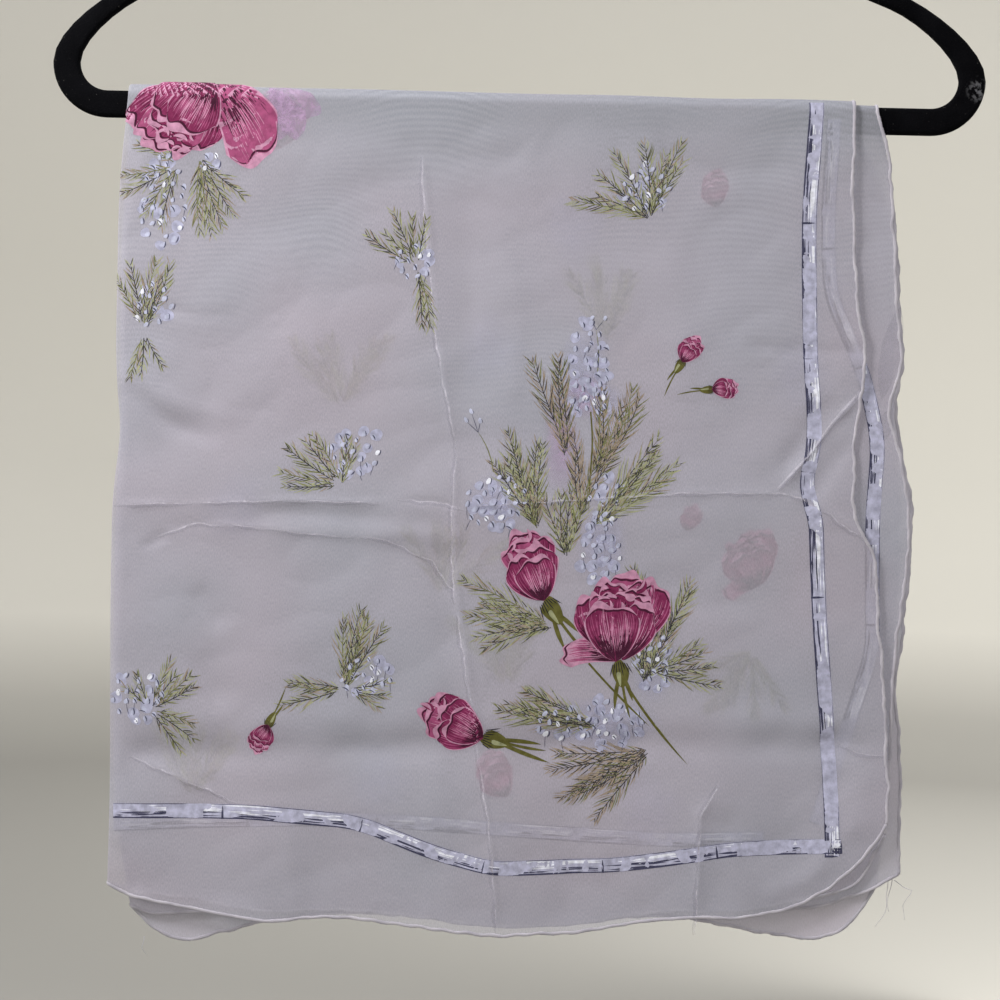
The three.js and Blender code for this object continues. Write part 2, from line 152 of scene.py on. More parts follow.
# Creases: how wide and high, how sharp (0 is soft, 1 a pressed edge and 2 a pressed edge with its
# painted shade laid over the line and its painted highlight beside it), and where they run (x, depth)
FRONT_CREASES = [
    # the upright press line, worn soft above and crisp below
    (2.6, 0.42, 1, [(-46, 26), (-43, 51), (-36, 112), (-27, 173)]),
    (2.4, 0.62, 1, [(-27, 168), (-25, 232), (-19, 271), (-12, 317), (-6, 355), (-1, 402)]),
    (9, -0.75, 0, [(-24, 40), (-22, 110), (-17, 190)]),
    (7, -0.5, 0, [(-33, 200), (-29, 260), (-22, 330), (-12, 402)]),
    # the level press line, broken into lengths
    (2.6, 0.6, 1, [(-193, 200), (-150, 198), (-106, 196), (-82, 196), (-55, 196)]),
    (1.9, -0.6, 1, [(-56, 194), (-36, 195), (-20, 198)]),
    (2.8, 0.42, 1, [(-18, 197), (40, 192), (87, 188), (135, 187)]),
    (3.0, 0.85, 1, [(132, 187), (142, 190), (152, 195), (176, 211)]),
    (4.5, 0.5, 0, [(-120, 207), (-59, 211), (-13, 212)]),
    (4.5, -0.6, 0, [(-130, 202), (-70, 203), (-30, 204)]),
    # the fold that kicks the right-hand edge in
    (3.2, 1.5, 2, [(128, 188), (140, 173), (154, 154), (170, 137)]),
    (5, -0.8, 0, [(128, 182), (136, 166), (156, 138)]),
    (4.5, -0.55, 0, [(141, 196), (150, 178), (167, 158)]),
    (4, -0.6, 0, [(108, 116), (150, 119), (178, 118)]),
    # short pulls from the left fold
    (5, -0.9, 0, [(-192, 140), (-165, 160), (-138, 169)]),
    (5.5, 0.6, 0, [(-192, 132), (-163, 150), (-128, 158)]),
    (4, -0.6, 0, [(-191, 143), (-177, 185)]),
    (3.4, -0.5, 0, [(-171, 210), (-134, 207)]),
    (3.0, -0.45, 0, [(-179, 222), (-162, 212)]),
    (3.0, -0.45, 0, [(-176, 104), (-150, 108), (-132, 107)]),
    (2.8, 0.38, 1, [(-171, 216), (-150, 208), (-120, 209), (-92, 212), (-60, 213), (-36, 223), (-24, 238)]),
    (6, -0.7, 0, [(-152, 236), (-134, 260)]),
    (7, -0.75, 0, [(-150, 270), (-132, 300)]),
    (9, 0.6, 0, [(-166, 240), (-148, 300), (-146, 350)]),
    # the broad level sag and the small lines about it
    (7, -1.0, 0, [(-188, 320), (-99, 316), (-2, 312), (94, 309), (184, 308)]),
    (8, 0.55, 0, [(-186, 305), (-99, 302), (-2, 299), (94, 297), (184, 296)]),
    (2.6, 0.7, 1, [(157, 306), (174, 312), (187, 313)]),
    (2.8, 0.5, 1, [(-182, 320), (-150, 333), (-127, 342)]),
    (5, -0.9, 0, [(-186, 360), (-173, 391)]),
    (5, 0.55, 0, [(-107, 345), (-101, 372), (-96, 398)]),
    (3.2, 0.75, 1, [(104, 328), (95, 343), (94, 400)]),
    (8, -0.8, 0, [(108, 336), (104, 360), (106, 398)]),
    (9, -0.6, 0, [(30, 330), (36, 360), (33, 402)]),
    # pulls towards the swept-up corner
    (6, 0.8, 0, [(122, 384), (148, 372), (176, 338)]),
    (7, -0.8, 0, [(112, 366), (140, 352), (172, 316)]),
    (9, -0.6, 0, [(150, 260), (160, 300), (158, 340)]),
    (10, -0.5, 0, [(60, 226), (100, 240), (150, 236)]),
    # slack just under the bar
    (6, -0.5, 0, [(-150, 14), (-120, 24), (-84, 22)]),
    (6, -0.5, 0, [(-60, 20), (-30, 30), (8, 26)]),
    (7, -0.6, 0, [(60, 22), (95, 34), (140, 26)]),
    (6, 0.5, 0, [(-10, 60), (2, 100), (0, 150)]),
    (9, 0.5, 0, [(70, 60), (84, 110), (80, 150)]),
]

BACK_CREASES = [
    (2.6, 0.55, 1, [(-30, 24), (-24, 120), (-12, 240), (-4, 400)]),
    (2.8, 0.55, 1, [(-188, 203), (-80, 199), (20, 202), (110, 198), (186, 204)]),
    (8, -0.9, 0, [(-186, 326), (-60, 318), (70, 322), (184, 312)]),
    (8, -0.7, 0, [(-170, 60), (-150, 130), (-158, 190)]),
    (9, 0.7, 0, [(60, 30), (72, 110), (58, 180)]),
    (6, 0.8, 0, [(120, 240), (132, 320), (128, 396)]),
    (7, -0.8, 0, [(-120, 250), (-112, 330), (-120, 400)]),
    (6, 0.7, 0, [(40, 330), (46, 400)]),
    (3.4, 0.8, 1, [(150, 140), (170, 168), (186, 176)]),
    (5, 0.8, 0, [(-150, 380), (-172, 350), (-184, 300)]),
    (5, -0.9, 0, [(170, 396), (160, 360), (172, 320)]),
]

SHARPER = 0.55        # a pressed edge falls away this much faster than a soft one of its width

LAYERS = {"outer": 1, "inner": -1}
SIDES = {"front": 1, "back": -1}


# ---- Small helpers for shapes ---------------------------------------------------------------------
def ease(low, high, value):
    share = np.clip((value - low) / (high - low), 0, 1)
    return share * share * (3 - 2 * share)


def read(columns, key, column, at):
    """A column between its rows, as one smooth curve."""
    xs, ys = columns[key], columns[column]
    step = np.diff(xs)
    slope = np.diff(ys) / step
    inner = (slope[:-1] * step[1:] + slope[1:] * step[:-1]) / (step[:-1] + step[1:])
    bend = np.concatenate([[slope[0]], inner, [slope[-1]]])
    i = np.clip(np.searchsorted(xs, at) - 1, 0, len(step) - 1)
    t = np.clip((at - xs[i]) / step[i], 0, 1)
    start = ys[i] * (1 + 2 * t) * (1 - t) ** 2 + bend[i] * step[i] * t * (1 - t) ** 2
    return start + ys[i + 1] * t * t * (3 - 2 * t) + bend[i + 1] * step[i] * t * t * (t - 1)


def ripple(x, y, scale, seed, waves=7):
    """Smooth, uneven waves between about -1 and 1, the same on every run."""
    draw = random.Random(seed)
    total = 0
    for _ in range(waves):
        angle, phase = draw.uniform(0, math.pi), draw.uniform(0, 2 * math.pi)
        length = scale * draw.uniform(0.7, 1.6)
        along = x * math.cos(angle) + y * math.sin(angle)
        total = total + np.sin(2 * math.pi * along / length + phase)
    return total / waves ** 0.5 / 1.4


def from_line(x, y, line):
    """Distance to a broken line, how far along it the nearest place is, and its whole length."""
    best, place_on, gone = np.full(np.shape(x), 1e9), np.zeros(np.shape(x)), 0.0
    for (x1, y1), (x2, y2) in zip(line, line[1:]):
        length = math.hypot(x2 - x1, y2 - y1)
        ux, uy = (x2 - x1) / length, (y2 - y1) / length
        t = np.clip((x - x1) * ux + (y - y1) * uy, 0, length)
        distance = np.hypot(x - x1 - t * ux, y - y1 - t * uy)
        nearer = distance < best
        best = np.where(nearer, distance, best)
        place_on = np.where(nearer, gone + t, place_on)
        gone += length
    return best, place_on, gone


def crumple(x, depth, seed):
    """Flat facets between fine, crisp lines, as thin cloth keeps from being packed away."""
    facets = 0.52 * np.abs(ripple(x, depth, 88, seed)) + 0.26 * np.abs(ripple(x, depth, 41, seed + 1))
    patchy = 0.5 + 0.5 * np.clip(ripple(x, depth, 130, seed + 2), -1, 1)
    fine = 0.10 * np.abs(ripple(x, 1.7 * depth, 17, seed + 3)) + 0.028 * ripple(x, depth, 6.5, seed + 4)
    return facets + patchy * fine - 0.35


def crease_height(x, depth, creases):
    """How far the creases push the cloth towards the front."""
    total = np.zeros(np.shape(x))
    for number, (width, height, pressed, line) in enumerate(creases):
        distance, at, length = from_line(x, depth, line)
        ends = ease(0, min(14, length / 3), at) * ease(0, min(14, length / 3), length - at)
        uneven = 1 + 0.35 * np.sin(at / 17 + 2.1 * number) + 0.25 * np.sin(at / 5.3 + number)
        sharp = np.exp(-(np.sqrt(distance ** 2 + 0.15) - 0.39) / (SHARPER * width))
        soft = np.exp(-(distance / width) ** 2)
        total += height * ends * uneven * (sharp if pressed else soft)
    return total


def swing(x, depth):
    total = 0
    for at, half, starts, height in zip(*UPRIGHT_FOLDS.values()):
        total = total + height * np.exp(-((x - at) / half) ** 2) * ease(starts, 400, depth)
    for at, half, height in zip(*LEVEL_FOLDS.values()):
        total = total + height * np.exp(-((depth - at) / half) ** 2)
    return total * ease(10, 80, depth)


def half_open(depth):
    return OVER_BAR + (CLOSED_GAP - OVER_BAR) * ease(BAR_HEIGHT + 3, CLOSES_BY, depth)


def left_edge(front, depth):
    return np.where(front, read(EDGES, "depth", "left_front", depth),
                    read(EDGES, "depth", "left_back", depth))


def right_edge(layer, side, depth):
    """The finished edge down the right of a leaf. Over the bar the back's joins the front's."""
    edge = read(EDGES, "depth", f"{layer}_{side}", depth)
    if side == "back":
        crest = EDGES[f"{layer}_front"][0] - EDGES[f"{layer}_back"][0]
        edge = edge + crest * (1 - ease(TURN_DEPTH, 50, depth))
    seed = 3 + LAYERS[layer] + 5 * SIDES[side]
    crinkled = 0.6 * ripple(depth, 0 * depth, 24, seed) + 0.35 * ripple(depth, 0 * depth, 8, seed + 7)
    return edge + crinkled * ease(4, 25, depth)


def place(aside, run, lift=0.0):
    """Hangs points of the flat cut: returns their places in metres."""
    aside, run, lift = np.broadcast_arrays(*(np.asarray(v, float) for v in (aside, run, lift)))
    front, outer = run >= 0, aside >= 0
    layer = np.where(outer, 1.0, -1.0)
    gone, across = np.abs(run), np.abs(aside)
    depth = TURN_DEPTH + np.maximum(gone - QUARTER, 0)
    bend = np.minimum(across / FOLD_RADIUS, math.pi / 2)
    reach = FOLD_RADIUS + layer * lift
    past = np.maximum(across - FOLD_RADIUS * math.pi / 2, 0)
    x = left_edge(front, depth) + FOLD_RADIUS - reach * np.cos(bend) + past
    out = MIDDLE + layer * reach * np.sin(bend)
    # slack: the cloth doesn't press on the bar evenly, nor do the layers on each other
    out = out + 0.35 * (ripple(x, 0 * x, 60, 11) + 0.6) * (1 - ease(0, 24, gone))
    own = np.where(outer, ripple(x, depth, 46, 21), ripple(x, depth, 40, 22))
    out = out + 0.22 * own * ease(8, 40, gone) * ease(0, 6, across)
    over = np.minimum(gone / TURN_RADIUS, math.pi / 2)
    wrapped = gone < QUARTER
    away = np.where(wrapped, (OVER_BAR + out) * np.sin(over), half_open(depth) + out)
    z = np.where(wrapped, BAR_TOP - TURN_DEPTH + (OVER_BAR + out) * np.cos(over), BAR_TOP - depth)
    creased = np.where(
        front, crease_height(x, depth, FRONT_CREASES) + crumple(x, depth, 81),
        crease_height(x, depth, BACK_CREASES) + crumple(x, depth, 91)) * ease(3, 14, depth)
    y = np.where(front, -away, away) - swing(x, depth) - creased
    return np.stack([x, y, z], -1) * MM


def run_at(depth):
    return depth - TURN_DEPTH + QUARTER


def hem_run(layer, side, across):
    """Run of the finished hem, from the crest, at a share of the way across."""
    wavy = 0.5 * ripple(across * 370, 0 * across, 13, 40 + LAYERS[layer] + 3 * SIDES[side])
    return run_at(read(HEMS, "across", f"{layer}_{side}", across)) + wavy * ease(0, 0.03, across)


def leaf_width(layer, side, run):
    depth = TURN_DEPTH + np.maximum(run - QUARTER, 0)
    return right_edge(layer, side, depth) - left_edge(side == "front", depth)


# ---- Making pieces --------------------------------------------------------------------------------
def unit(vectors):
    return vectors / np.linalg.norm(vectors, axis=1)[:, None]


def far_along(line):
    """How far along a line each of its points lies."""
    return np.concatenate([[0], np.cumsum(np.linalg.norm(np.diff(line, axis=0), axis=1))])


def along_line(line, at):
    """Places on a broken line in the plane, at these distances along it."""
    length = far_along(line)
    return np.stack([np.interp(at, length, line[:, k]) for k in (0, 1)], -1)


def linked(name, data):
    obj = bpy.data.objects.new(name, data)
    bpy.context.scene.collection.objects.link(obj)
    return obj


def closed(bm, near):
    """Welds the seam of a tube and fills its ends."""
    bmesh.ops.remove_doubles(bm, verts=bm.verts, dist=near)
    bmesh.ops.holes_fill(bm, edges=[e for e in bm.edges if e.is_boundary], sides=0)
    bmesh.ops.recalc_face_normals(bm, faces=bm.faces)
    return bm


def sealed(obj, near):
    bm = bmesh.new()
    bm.from_mesh(obj.data)
    closed(bm, near).to_mesh(obj.data)
    bm.free()
    return obj


def flat_grid(columns, rows):
    """A bmesh grid whose points carry their column and row as x and y."""
    bm = bmesh.new()
    bmesh.ops.create_grid(bm, x_segments=columns, y_segments=rows, size=0.5)
    bmesh.ops.translate(bm, verts=bm.verts, vec=(0.5, 0.5, 0))
    bmesh.ops.scale(bm, verts=bm.verts, vec=(columns, rows, 1))
    return bm


def points_of(mesh):
    found = np.empty(len(mesh.vertices) * 3)
    mesh.vertices.foreach_get("co", found)
    return found.reshape(-1, 3)


def piece(name, bm, material, shaped=None, **maps):
    """Turns a bmesh into a piece: its points go through shaped(), and maps are from flat places."""
    mesh = bpy.data.meshes.new(name)
    bm.to_mesh(mesh)
    bm.free()
    flat = points_of(mesh)
    if shaped:
        mesh.vertices.foreach_set("co", shaped(flat).ravel())
    corners = np.empty(len(mesh.loops), np.int32)
    mesh.loops.foreach_get("vertex_index", corners)
    for label, places in maps.items():
        layer = mesh.uv_layers.new(name=label)
        layer.data.foreach_set("uv", places(flat)[corners].ravel())
    mesh.polygons.foreach_set("use_smooth", np.ones(len(mesh.polygons), bool))
    mesh.materials.append(material)
    mesh.update()
    obj = linked(name, mesh)
    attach(obj, "root")
    return obj


def faces_turned(mesh_points, wanted):
    """True where a grid's first faces look away from the wanted direction."""
    a, b, c = (Vector(p) for p in mesh_points)
    return (b - a).cross(c - a).dot(wanted) < 0


# ---- Cloth leaves ---------------------------------------------------------------------------------
LEAF_GRID = {"front": (272, 300), "back": (190, 208)}


def leaf_places(layer, side, index):
    """Flat cut of a leaf's grid: finer by the left fold and over the bar."""
    columns, rows = LEAF_GRID[side]
    across = np.interp(index[:, 0], [0, 8, columns], [0, 0.008, 1])
    share = np.interp(index[:, 1], [0, 10, rows], [0, 0.022, 1])
    run = share * (hem_run(layer, side, across) - HEM / 2)
    aside = across * (leaf_width(layer, side, run) - HEM / 2)
    return aside * LAYERS[layer], run * SIDES[side]


def leaf(layer, side, material):
    bm = flat_grid(*LEAF_GRID[side])
    corner = np.array([[100, 100, 0], [101, 100, 0], [100, 101, 0]], float)
    outwards = Vector((0, -1 if side == "front" else 1, 0))
    if faces_turned(place(*leaf_places(layer, side, corner)), outwards):
        bmesh.ops.reverse_faces(bm, faces=bm.faces)
    return piece(
        f"{side}_{layer}_leaf", bm, material,
        shaped=lambda flat: place(*leaf_places(layer, side, flat)),
        cut=lambda flat: np.stack(leaf_places(layer, side, flat), -1) * MM,
    )


# ---- Rolled hems ----------------------------------------------------------------------------------
HEM_SIDES = 10


def hem_tube(name, line, material, seed):
    """A rolled hem along a line of the flat cut: a closed tube, pinched by its stitches."""
    aside, run = line
    centre = place(aside, run)
    outwards = unit(place(aside, run, 0.2) - centre)
    flatwise = unit(np.cross(unit(np.gradient(centre, axis=0)), outwards))
    far = far_along(centre) / MM
    pinch = 1 - 0.16 * np.abs(np.cos(math.pi * far / 2.9)) ** 3 + 0.13 * ripple(far, far, 9, seed)
    thick = 1 - 0.12 * ripple(far, 0 * far, 30, seed + 1)

    def shaped(flat):
        angle = 2 * math.pi * flat[:, 0] / HEM_SIDES
        at = np.rint(flat[:, 1]).astype(int)
        wide = (HEM / 2 * np.cos(angle) * pinch[at])[:, None] * flatwise[at]
        high = (0.52 * np.sin(angle) * pinch[at] * thick[at])[:, None] * outwards[at]
        return centre[at] + (wide + high) * MM

    def cut(flat):
        return np.stack([flat[:, 0] * 0.5, far[np.rint(flat[:, 1]).astype(int)]], -1) * MM

    tube = piece(name, flat_grid(HEM_SIDES, len(aside) - 1), material, shaped, cut=cut)
    return sealed(tube, 0.00001)


def side_hem_line(layer):
    """From the bottom of the back, over the bar, to the bottom of the front."""
    runs = []
    for side in ("back", "front"):
        longest = float(hem_run(layer, side, np.array([1.0]))[0]) - HEM / 2
        run = np.linspace(0, longest, int(longest / 0.9))
        aside = leaf_width(layer, side, run) - HEM / 2
        runs.append((aside * LAYERS[layer], run * SIDES[side]))
    (back_aside, back_run), (front_aside, front_run) = runs
    return (np.concatenate([back_aside[:0:-1], front_aside]),
            np.concatenate([back_run[:0:-1], front_run]))


def bottom_hem_line(side):
    """From the outer layer's corner, round the left fold, to the inner layer's corner."""
    lines = []
    for layer in ("outer", "inner"):
        across = np.linspace(0, 1, 420)
        run = hem_run(layer, side, across) - HEM / 2
        aside = across * (leaf_width(layer, side, run) - HEM / 2)
        lines.append((aside * LAYERS[layer], run * SIDES[side]))
    (outer_aside, outer_run), (inner_aside, inner_run) = lines
    return (np.concatenate([outer_aside[::-1], inner_aside[1:]]),
            np.concatenate([outer_run[::-1], inner_run[1:]]))


# ---- Print ----------------------------------------------------------------------------------------
INKS = {  # each ink's colour, from the first screen laid to the last
    # the first two are painted light, not print: painted shade along creases and folds, and painted
    # highlight along creases
    "pressed_shade": (0.250, 0.235, 0.285),
    "pressed_edge": (0.620, 0.595, 0.660),
    "lilac_wash": (0.37, 0.37, 0.50),
    "mauve_wash": (0.36, 0.25, 0.38),
    "lilac": (0.360, 0.362, 0.480),
    "straw": (0.265, 0.208, 0.150),
    "pale_green": (0.285, 0.295, 0.165),
    "olive": (0.150, 0.155, 0.060),
    "bark": (0.030, 0.028, 0.032),
    "drop": (0.430, 0.445, 0.570),
    "white": (0.700, 0.710, 0.780),
    "slate": (0.045, 0.045, 0.085),
    "leaf_green": (0.098, 0.092, 0.020),
    "black": (0.014, 0.012, 0.018),
    "pink": (0.455, 0.225, 0.335),
    "magenta": (0.168, 0.014, 0.066),
    "rose": (0.300, 0.060, 0.150),
    "plum": (0.048, 0.004, 0.022),
    "blush": (0.490, 0.220, 0.340),
    "band": (0.400, 0.400, 0.520),
}
SHEER = {  # how closely the thin inks cover, at least and at most
    # the first two are the painted shade and the painted highlight of the creases
    "pressed_shade": (0.12, 0.28), "pressed_edge": (0.20, 0.46),
    "lilac_wash": (0.36, 0.58), "mauve_wash": (0.36, 0.58),
}
FIRST_LIFT, LEVEL_STEP, INK_STEP = 0.14, 0.013, 0.0008  # mm over the cloth
patches = {ink: {} for ink in INKS}
draw = random.Random(68)


class Pen:
    """Draws a motif in its own millimetres, x to the right and y up, at a place on a leaf."""

    def __init__(self, side, layer, x, depth, turn=0.0, size=1.0, level=0):
        self.side, self.layer = SIDES[side], LAYERS[layer]
        self.x, self.depth, self.size, self.level = x, depth, size, level
        self.cos, self.sin = math.cos(math.radians(turn)), math.sin(math.radians(turn))

    def page(self, points):
        x, y = points.T * self.size
        across = self.x + x * self.cos - y * self.sin
        return np.stack([across, self.depth - (x * self.sin + y * self.cos)], -1)

    def lay(self, ink, points, columns, rows, soak=None):
        """A patch of ink: a grid of (columns + 1) x (rows + 1) points, row by row."""
        page = self.page(points)
        lift = FIRST_LIFT + LEVEL_STEP * self.level + INK_STEP * list(INKS).index(ink)
        flat = np.stack([(page[:, 0] - FOLD_LINE) * self.layer, run_at(page[:, 1]) * self.side,
                         np.full(len(page), lift)], -1)
        soak = np.ones(len(flat)) if soak is None else soak
        patches[ink].setdefault((columns, rows), []).append((flat, soak))

    def stroke(self, ink, line, width, ends=(0.0, 0.0)):
        """A brush stroke, widest in its middle; ends say how blunt it starts and stops."""
        line = np.asarray(line, float)
        t = np.linspace(0, 1, len(line))
        shape = np.sin(math.pi * t) ** 0.7
        half = width / 2 * np.maximum(shape, np.where(t < 0.5, ends[0], ends[1]) + 0.04)
        along = np.gradient(line, axis=0)
        along /= np.maximum(np.hypot(*along.T), 1e-9)[:, None]
        across = np.stack([-along[:, 1], along[:, 0]], -1) * half[:, None]
        self.lay(ink, np.concatenate([line - across, line + across]), len(line) - 1, 1)

    def blot(self, ink, x, y, wide, high, turn=0.0, rough=0.0, rings=2, spokes=10):
        """An oval blot with a slightly uneven rim. A wash fades towards it."""
        spoke = np.linspace(0, 2 * math.pi, spokes + 1)
        a, b = draw.uniform(0, 6), draw.uniform(0, 6)
        rim = 1 + rough * (np.sin(spoke * 3 + a) + 0.5 * np.sin(spoke * 5 + b))
        reach = np.linspace(0.02, 1, rings + 1)[:, None]
        cos, sin = math.cos(math.radians(turn)), math.sin(math.radians(turn))
        px, py = reach * rim * wide * np.cos(spoke), reach * rim * high * np.sin(spoke)
        points = np.stack([x + px * cos - py * sin, y + px * sin + py * cos], -1).reshape(-1, 2)
        soak = ((1 - reach ** 2) ** 1.3 * np.ones(spokes + 1)).ravel()
        self.lay(ink, points, spokes, rings, soak)


def screened(ink):
    """One ink's patches: each size of patch is cut from one long grid."""
    bm, soaks, joins = bmesh.new(), [], []
    for (columns, rows), laid in patches[ink].items():
        before = len(bm.faces)
        made = bmesh.ops.create_grid(
            bm, x_segments=columns, y_segments=len(laid) * (rows + 1) - 1, size=0.5)["verts"]
        for vert, at in zip(made, np.concatenate([flat for flat, _ in laid]).tolist()):
            vert.co = at
        soaks += [soak for _, soak in laid]
        bm.faces.ensure_lookup_table()
        joins += [face for number, face in enumerate(bm.faces[before:])
                  if number // columns % (rows + 1) == rows]
    bmesh.ops.delete(bm, geom=joins, context="FACES")
    bm.normal_update()
    wrong = [face for face in bm.faces if face.normal.z * face.verts[0].co.x > 0]
    bmesh.ops.reverse_faces(bm, faces=wrong)
    return bm, np.concatenate(soaks)


class Petal:
    """A petal from base to tip: at(s, t) gives a place on it, s from -1 to 1 and t from 0 to 1."""

    def __init__(self, base, tip, width, bend=0.0, ruffle=0.05, notch=0.0, open_at=2.1):
        self.base, self.tip = np.array(base, float), np.array(tip, float)
        self.width, self.bend, self.open_at = width, bend, open_at
        self.ruffle, self.notch, self.phase = ruffle, notch, draw.uniform(0, 6)

    def at(self, s, t):
        s, t = np.broadcast_arrays(np.asarray(s, float), np.asarray(t, float))
        axis = self.tip - self.base
        length = np.hypot(*axis)
        up, side = axis / length, np.array([-axis[1], axis[0]]) / length
        t = np.clip(t, 0, 1)
        wide = self.width / 2 * (1 - (1 - t) ** self.open_at) ** 0.75 * (1 - 0.10 * t ** 6)
        wavy = np.sin(2.9 * s + self.phase) + 0.4 * np.sin(6.1 * s + 2 * self.phase)
        rim = 1 + t ** 3 * (self.ruffle * wavy - self.notch * (1 - s * s) - 0.24 * s ** 4)
        over = s * wide + self.bend * np.sin(math.pi * t)
        return self.base + (length * t * rim)[..., None] * up + over[..., None] * side

    def fill(self, pen, ink, first=0.0, last=1.0, narrow=1.0, columns=14, rows=12):
        s, t = np.meshgrid(np.linspace(-narrow, narrow, columns + 1),
                           np.linspace(first, last, rows + 1))
        pen.lay(ink, self.at(s, t).reshape(-1, 2), columns, rows)

    def hatch(self, pen, ink, count, first, last, width, spread=(-0.86, 0.86)):
        """Brush lines that follow the petal's form."""
        loose = 0.14 * (last - first)
        for i in range(count):
            s = spread[0] + (spread[1] - spread[0]) * (i + draw.uniform(0.2, 0.8)) / count
            start = first + draw.uniform(-1, 1) * loose
            stop = last + draw.uniform(-2.2, 1) * loose
            t = np.clip(np.linspace(start, stop, 6), 0.01, 0.98)
            pen.stroke(ink, self.at(s + 0.03 * np.sin(6 * t + i), t), width * draw.uniform(0.5, 1.3))

    def turned_rim(self, pen, depth):
        """The rim rolls over unevenly: a pale lip with a dark line under it."""
        s = np.linspace(-0.97, 0.97, 25)
        lip = depth * (0.7 + 0.55 * np.sin(3.7 * s + self.phase) + 0.2 * np.sin(8 * s - self.phase))
        under = 1 - np.clip(lip, 0.02, 1)
        pen.stroke("plum", self.at(0.92 * s, under - 0.02), 1.1)
        pen.level += 1
        pen.lay("pink", np.concatenate([self.at(s, under), self.at(s, 1.0)]), 24, 1)
        pen.stroke("blush", self.at(0.85 * s, under + 0.02), 0.5)

    def paint(self, pen, lights, darks, deep=0.5, body="magenta", lip=0.09):
        pen.level += 1
        self.fill(pen, "pink")
        pen.level += 1
        self.fill(pen, body, last=0.97, narrow=0.94)
        pen.level += 1
        self.hatch(pen, "rose", darks, 0.4, 0.9, 0.6)
        self.hatch(pen, "plum", darks, 0.01, deep, 0.8)
        self.hatch(pen, "blush", lights, 0.25, 0.86, 0.42, (-0.7, 0.5))
        pen.level += 1
        self.turned_rim(pen, lip)


def bow(start, angle, length, curl, steps=5):
    """Points along a curved line: it leaves at an angle, and curls by so many degrees."""
    t = np.linspace(0, 1, steps)
    heading = np.radians(angle + curl * t)
    step = length / (steps - 1)
    x = start[0] + np.concatenate([[0], np.cumsum(np.cos(heading[:-1]) * step)])
    y = start[1] + np.concatenate([[0], np.cumsum(np.sin(heading[:-1]) * step)])
    return np.stack([x, y], -1)


def frond(pen, start, angle, length, curl, tones, dark):
    """A feathery frond: a thin rib with fine needles on both sides."""
    steps = max(5, int(length / 2.5))
    rib = bow(start, angle, length, curl, steps)
    pen.stroke("bark" if draw.random() < dark else "olive", rib, 0.5, (0.8, 0.1))
    count = int(length / 1.9)
    for i in range(count):
        t = (i + draw.uniform(0, 0.9)) / count
        where = min(t * (steps - 1), steps - 1.01)
        low = int(where)
        at = rib[low] + (rib[low + 1] - rib[low]) * (where - low)
        reach = 3.6 + 0.21 * length * math.sin(math.pi * min(1, 0.12 + 0.85 * t))
        for side in (-1, 1):
            long = reach * draw.uniform(0.6, 1.15)
            way = angle + curl * t + side * draw.uniform(20, 40)
            pen.stroke(draw.choice(tones), bow(at, way, long, -side * 16, 4),
                       draw.uniform(0.36, 0.6), (0.5, 0))
            if draw.random() < 0.9 * dark:
                shift = np.array([draw.uniform(-0.25, 0.25), draw.uniform(-0.25, 0.25)])
                pen.stroke("bark", bow(at + shift, way, long * draw.uniform(0.4, 0.95), -side * 16, 4),
                           0.42, (0.4, 0))


GREENS = ("pale_green", "pale_green", "straw", "olive")
STRAWS = ("straw", "straw", "straw", "olive")


def fern(pen, fronds, length, first, last, dark=0.45, tones=GREENS):
    """Fronds that fan out from one place."""
    for i in range(fronds):
        angle = first + (last - first) * (i + draw.uniform(0.3, 0.7)) / fronds
        start = bow((0, 0), angle, draw.uniform(1, 5), 0, 2)[-1]
        frond(pen, start, angle, length * draw.uniform(0.82, 1.2), draw.uniform(-18, 18), tones, dark)


def berries(pen, count, wide, high, wash):
    """A cloud of little drops, each with a dark crescent, over soft washes."""
    spots = []
    for _ in range(count * 14):
        angle, reach = draw.uniform(0, 2 * math.pi), math.sqrt(draw.random())
        spot = (wide * reach * math.cos(angle), high * reach * math.sin(angle))
        if all(math.hypot(spot[0] - x, spot[1] - y) > 3.9 for x, y in spots):
            spots.append(spot)
        if len(spots) == count:
            break
    for x, y in spots:
        if draw.random() < wash:
            pen.blot("lilac", x + draw.uniform(-1.5, 1.5), y + draw.uniform(-1.5, 1.5),
                     draw.uniform(2.2, 3.6), draw.uniform(1.9, 3.0), draw.uniform(0, 180), 0.05, 1, 14)
    pen.level += 2
    for x, y in spots:
        turn = draw.uniform(30, 120)
        ink = "white" if draw.random() < 0.15 else "drop"
        wide, high = draw.uniform(1.15, 1.75), draw.uniform(0.8, 1.15)
        pen.blot(ink, x, y, wide, high, turn, 0.06)
        crescent = bow((x + 0.75 * high, y - wide), turn + draw.uniform(-10, 30), 2.2 * wide, 60, 5)
        pen.stroke("slate", crescent, draw.uniform(0.45, 0.75), (0.3, 0))
        if draw.random() < 0.25:
            pen.stroke("slate", bow((x, y - 1), -95 + draw.uniform(-25, 25), draw.uniform(3, 7), 14, 5),
                       0.3, (0.4, 0))


def twig(pen, length, count=3):
    """A thin stem with a few single drops at its tip."""
    stem = bow((0, 0), 100, length, 22, 7)
    pen.stroke("olive", stem, 0.5, (0.9, 0.2))
    for i in range(count):
        angle = 70 + 60 * i / max(count - 1, 1)
        tip = bow(stem[-1], angle, length * draw.uniform(0.25, 0.5), 0, 3)
        pen.stroke("slate", tip, 0.35, (0.6, 0.2))
        x, y = tip[-1]
        pen.blot("drop", x, y + 0.6, 0.9, 1.4, draw.uniform(-20, 20), 0.05)
        pen.stroke("slate", bow((x + 1.0, y - 0.8), 80, 2.2, 60, 4), 0.4)


def stem(pen, start, angle, length, curl, width=1.3):
    pen.stroke("leaf_green", bow(start, angle, length, curl, 14), width, (0.9, 0.0))
    pen.stroke("pale_green", bow((start[0] - 0.2, start[1]), angle, length * 0.7, curl, 10),
               width * 0.3, (0.5, 0.0))


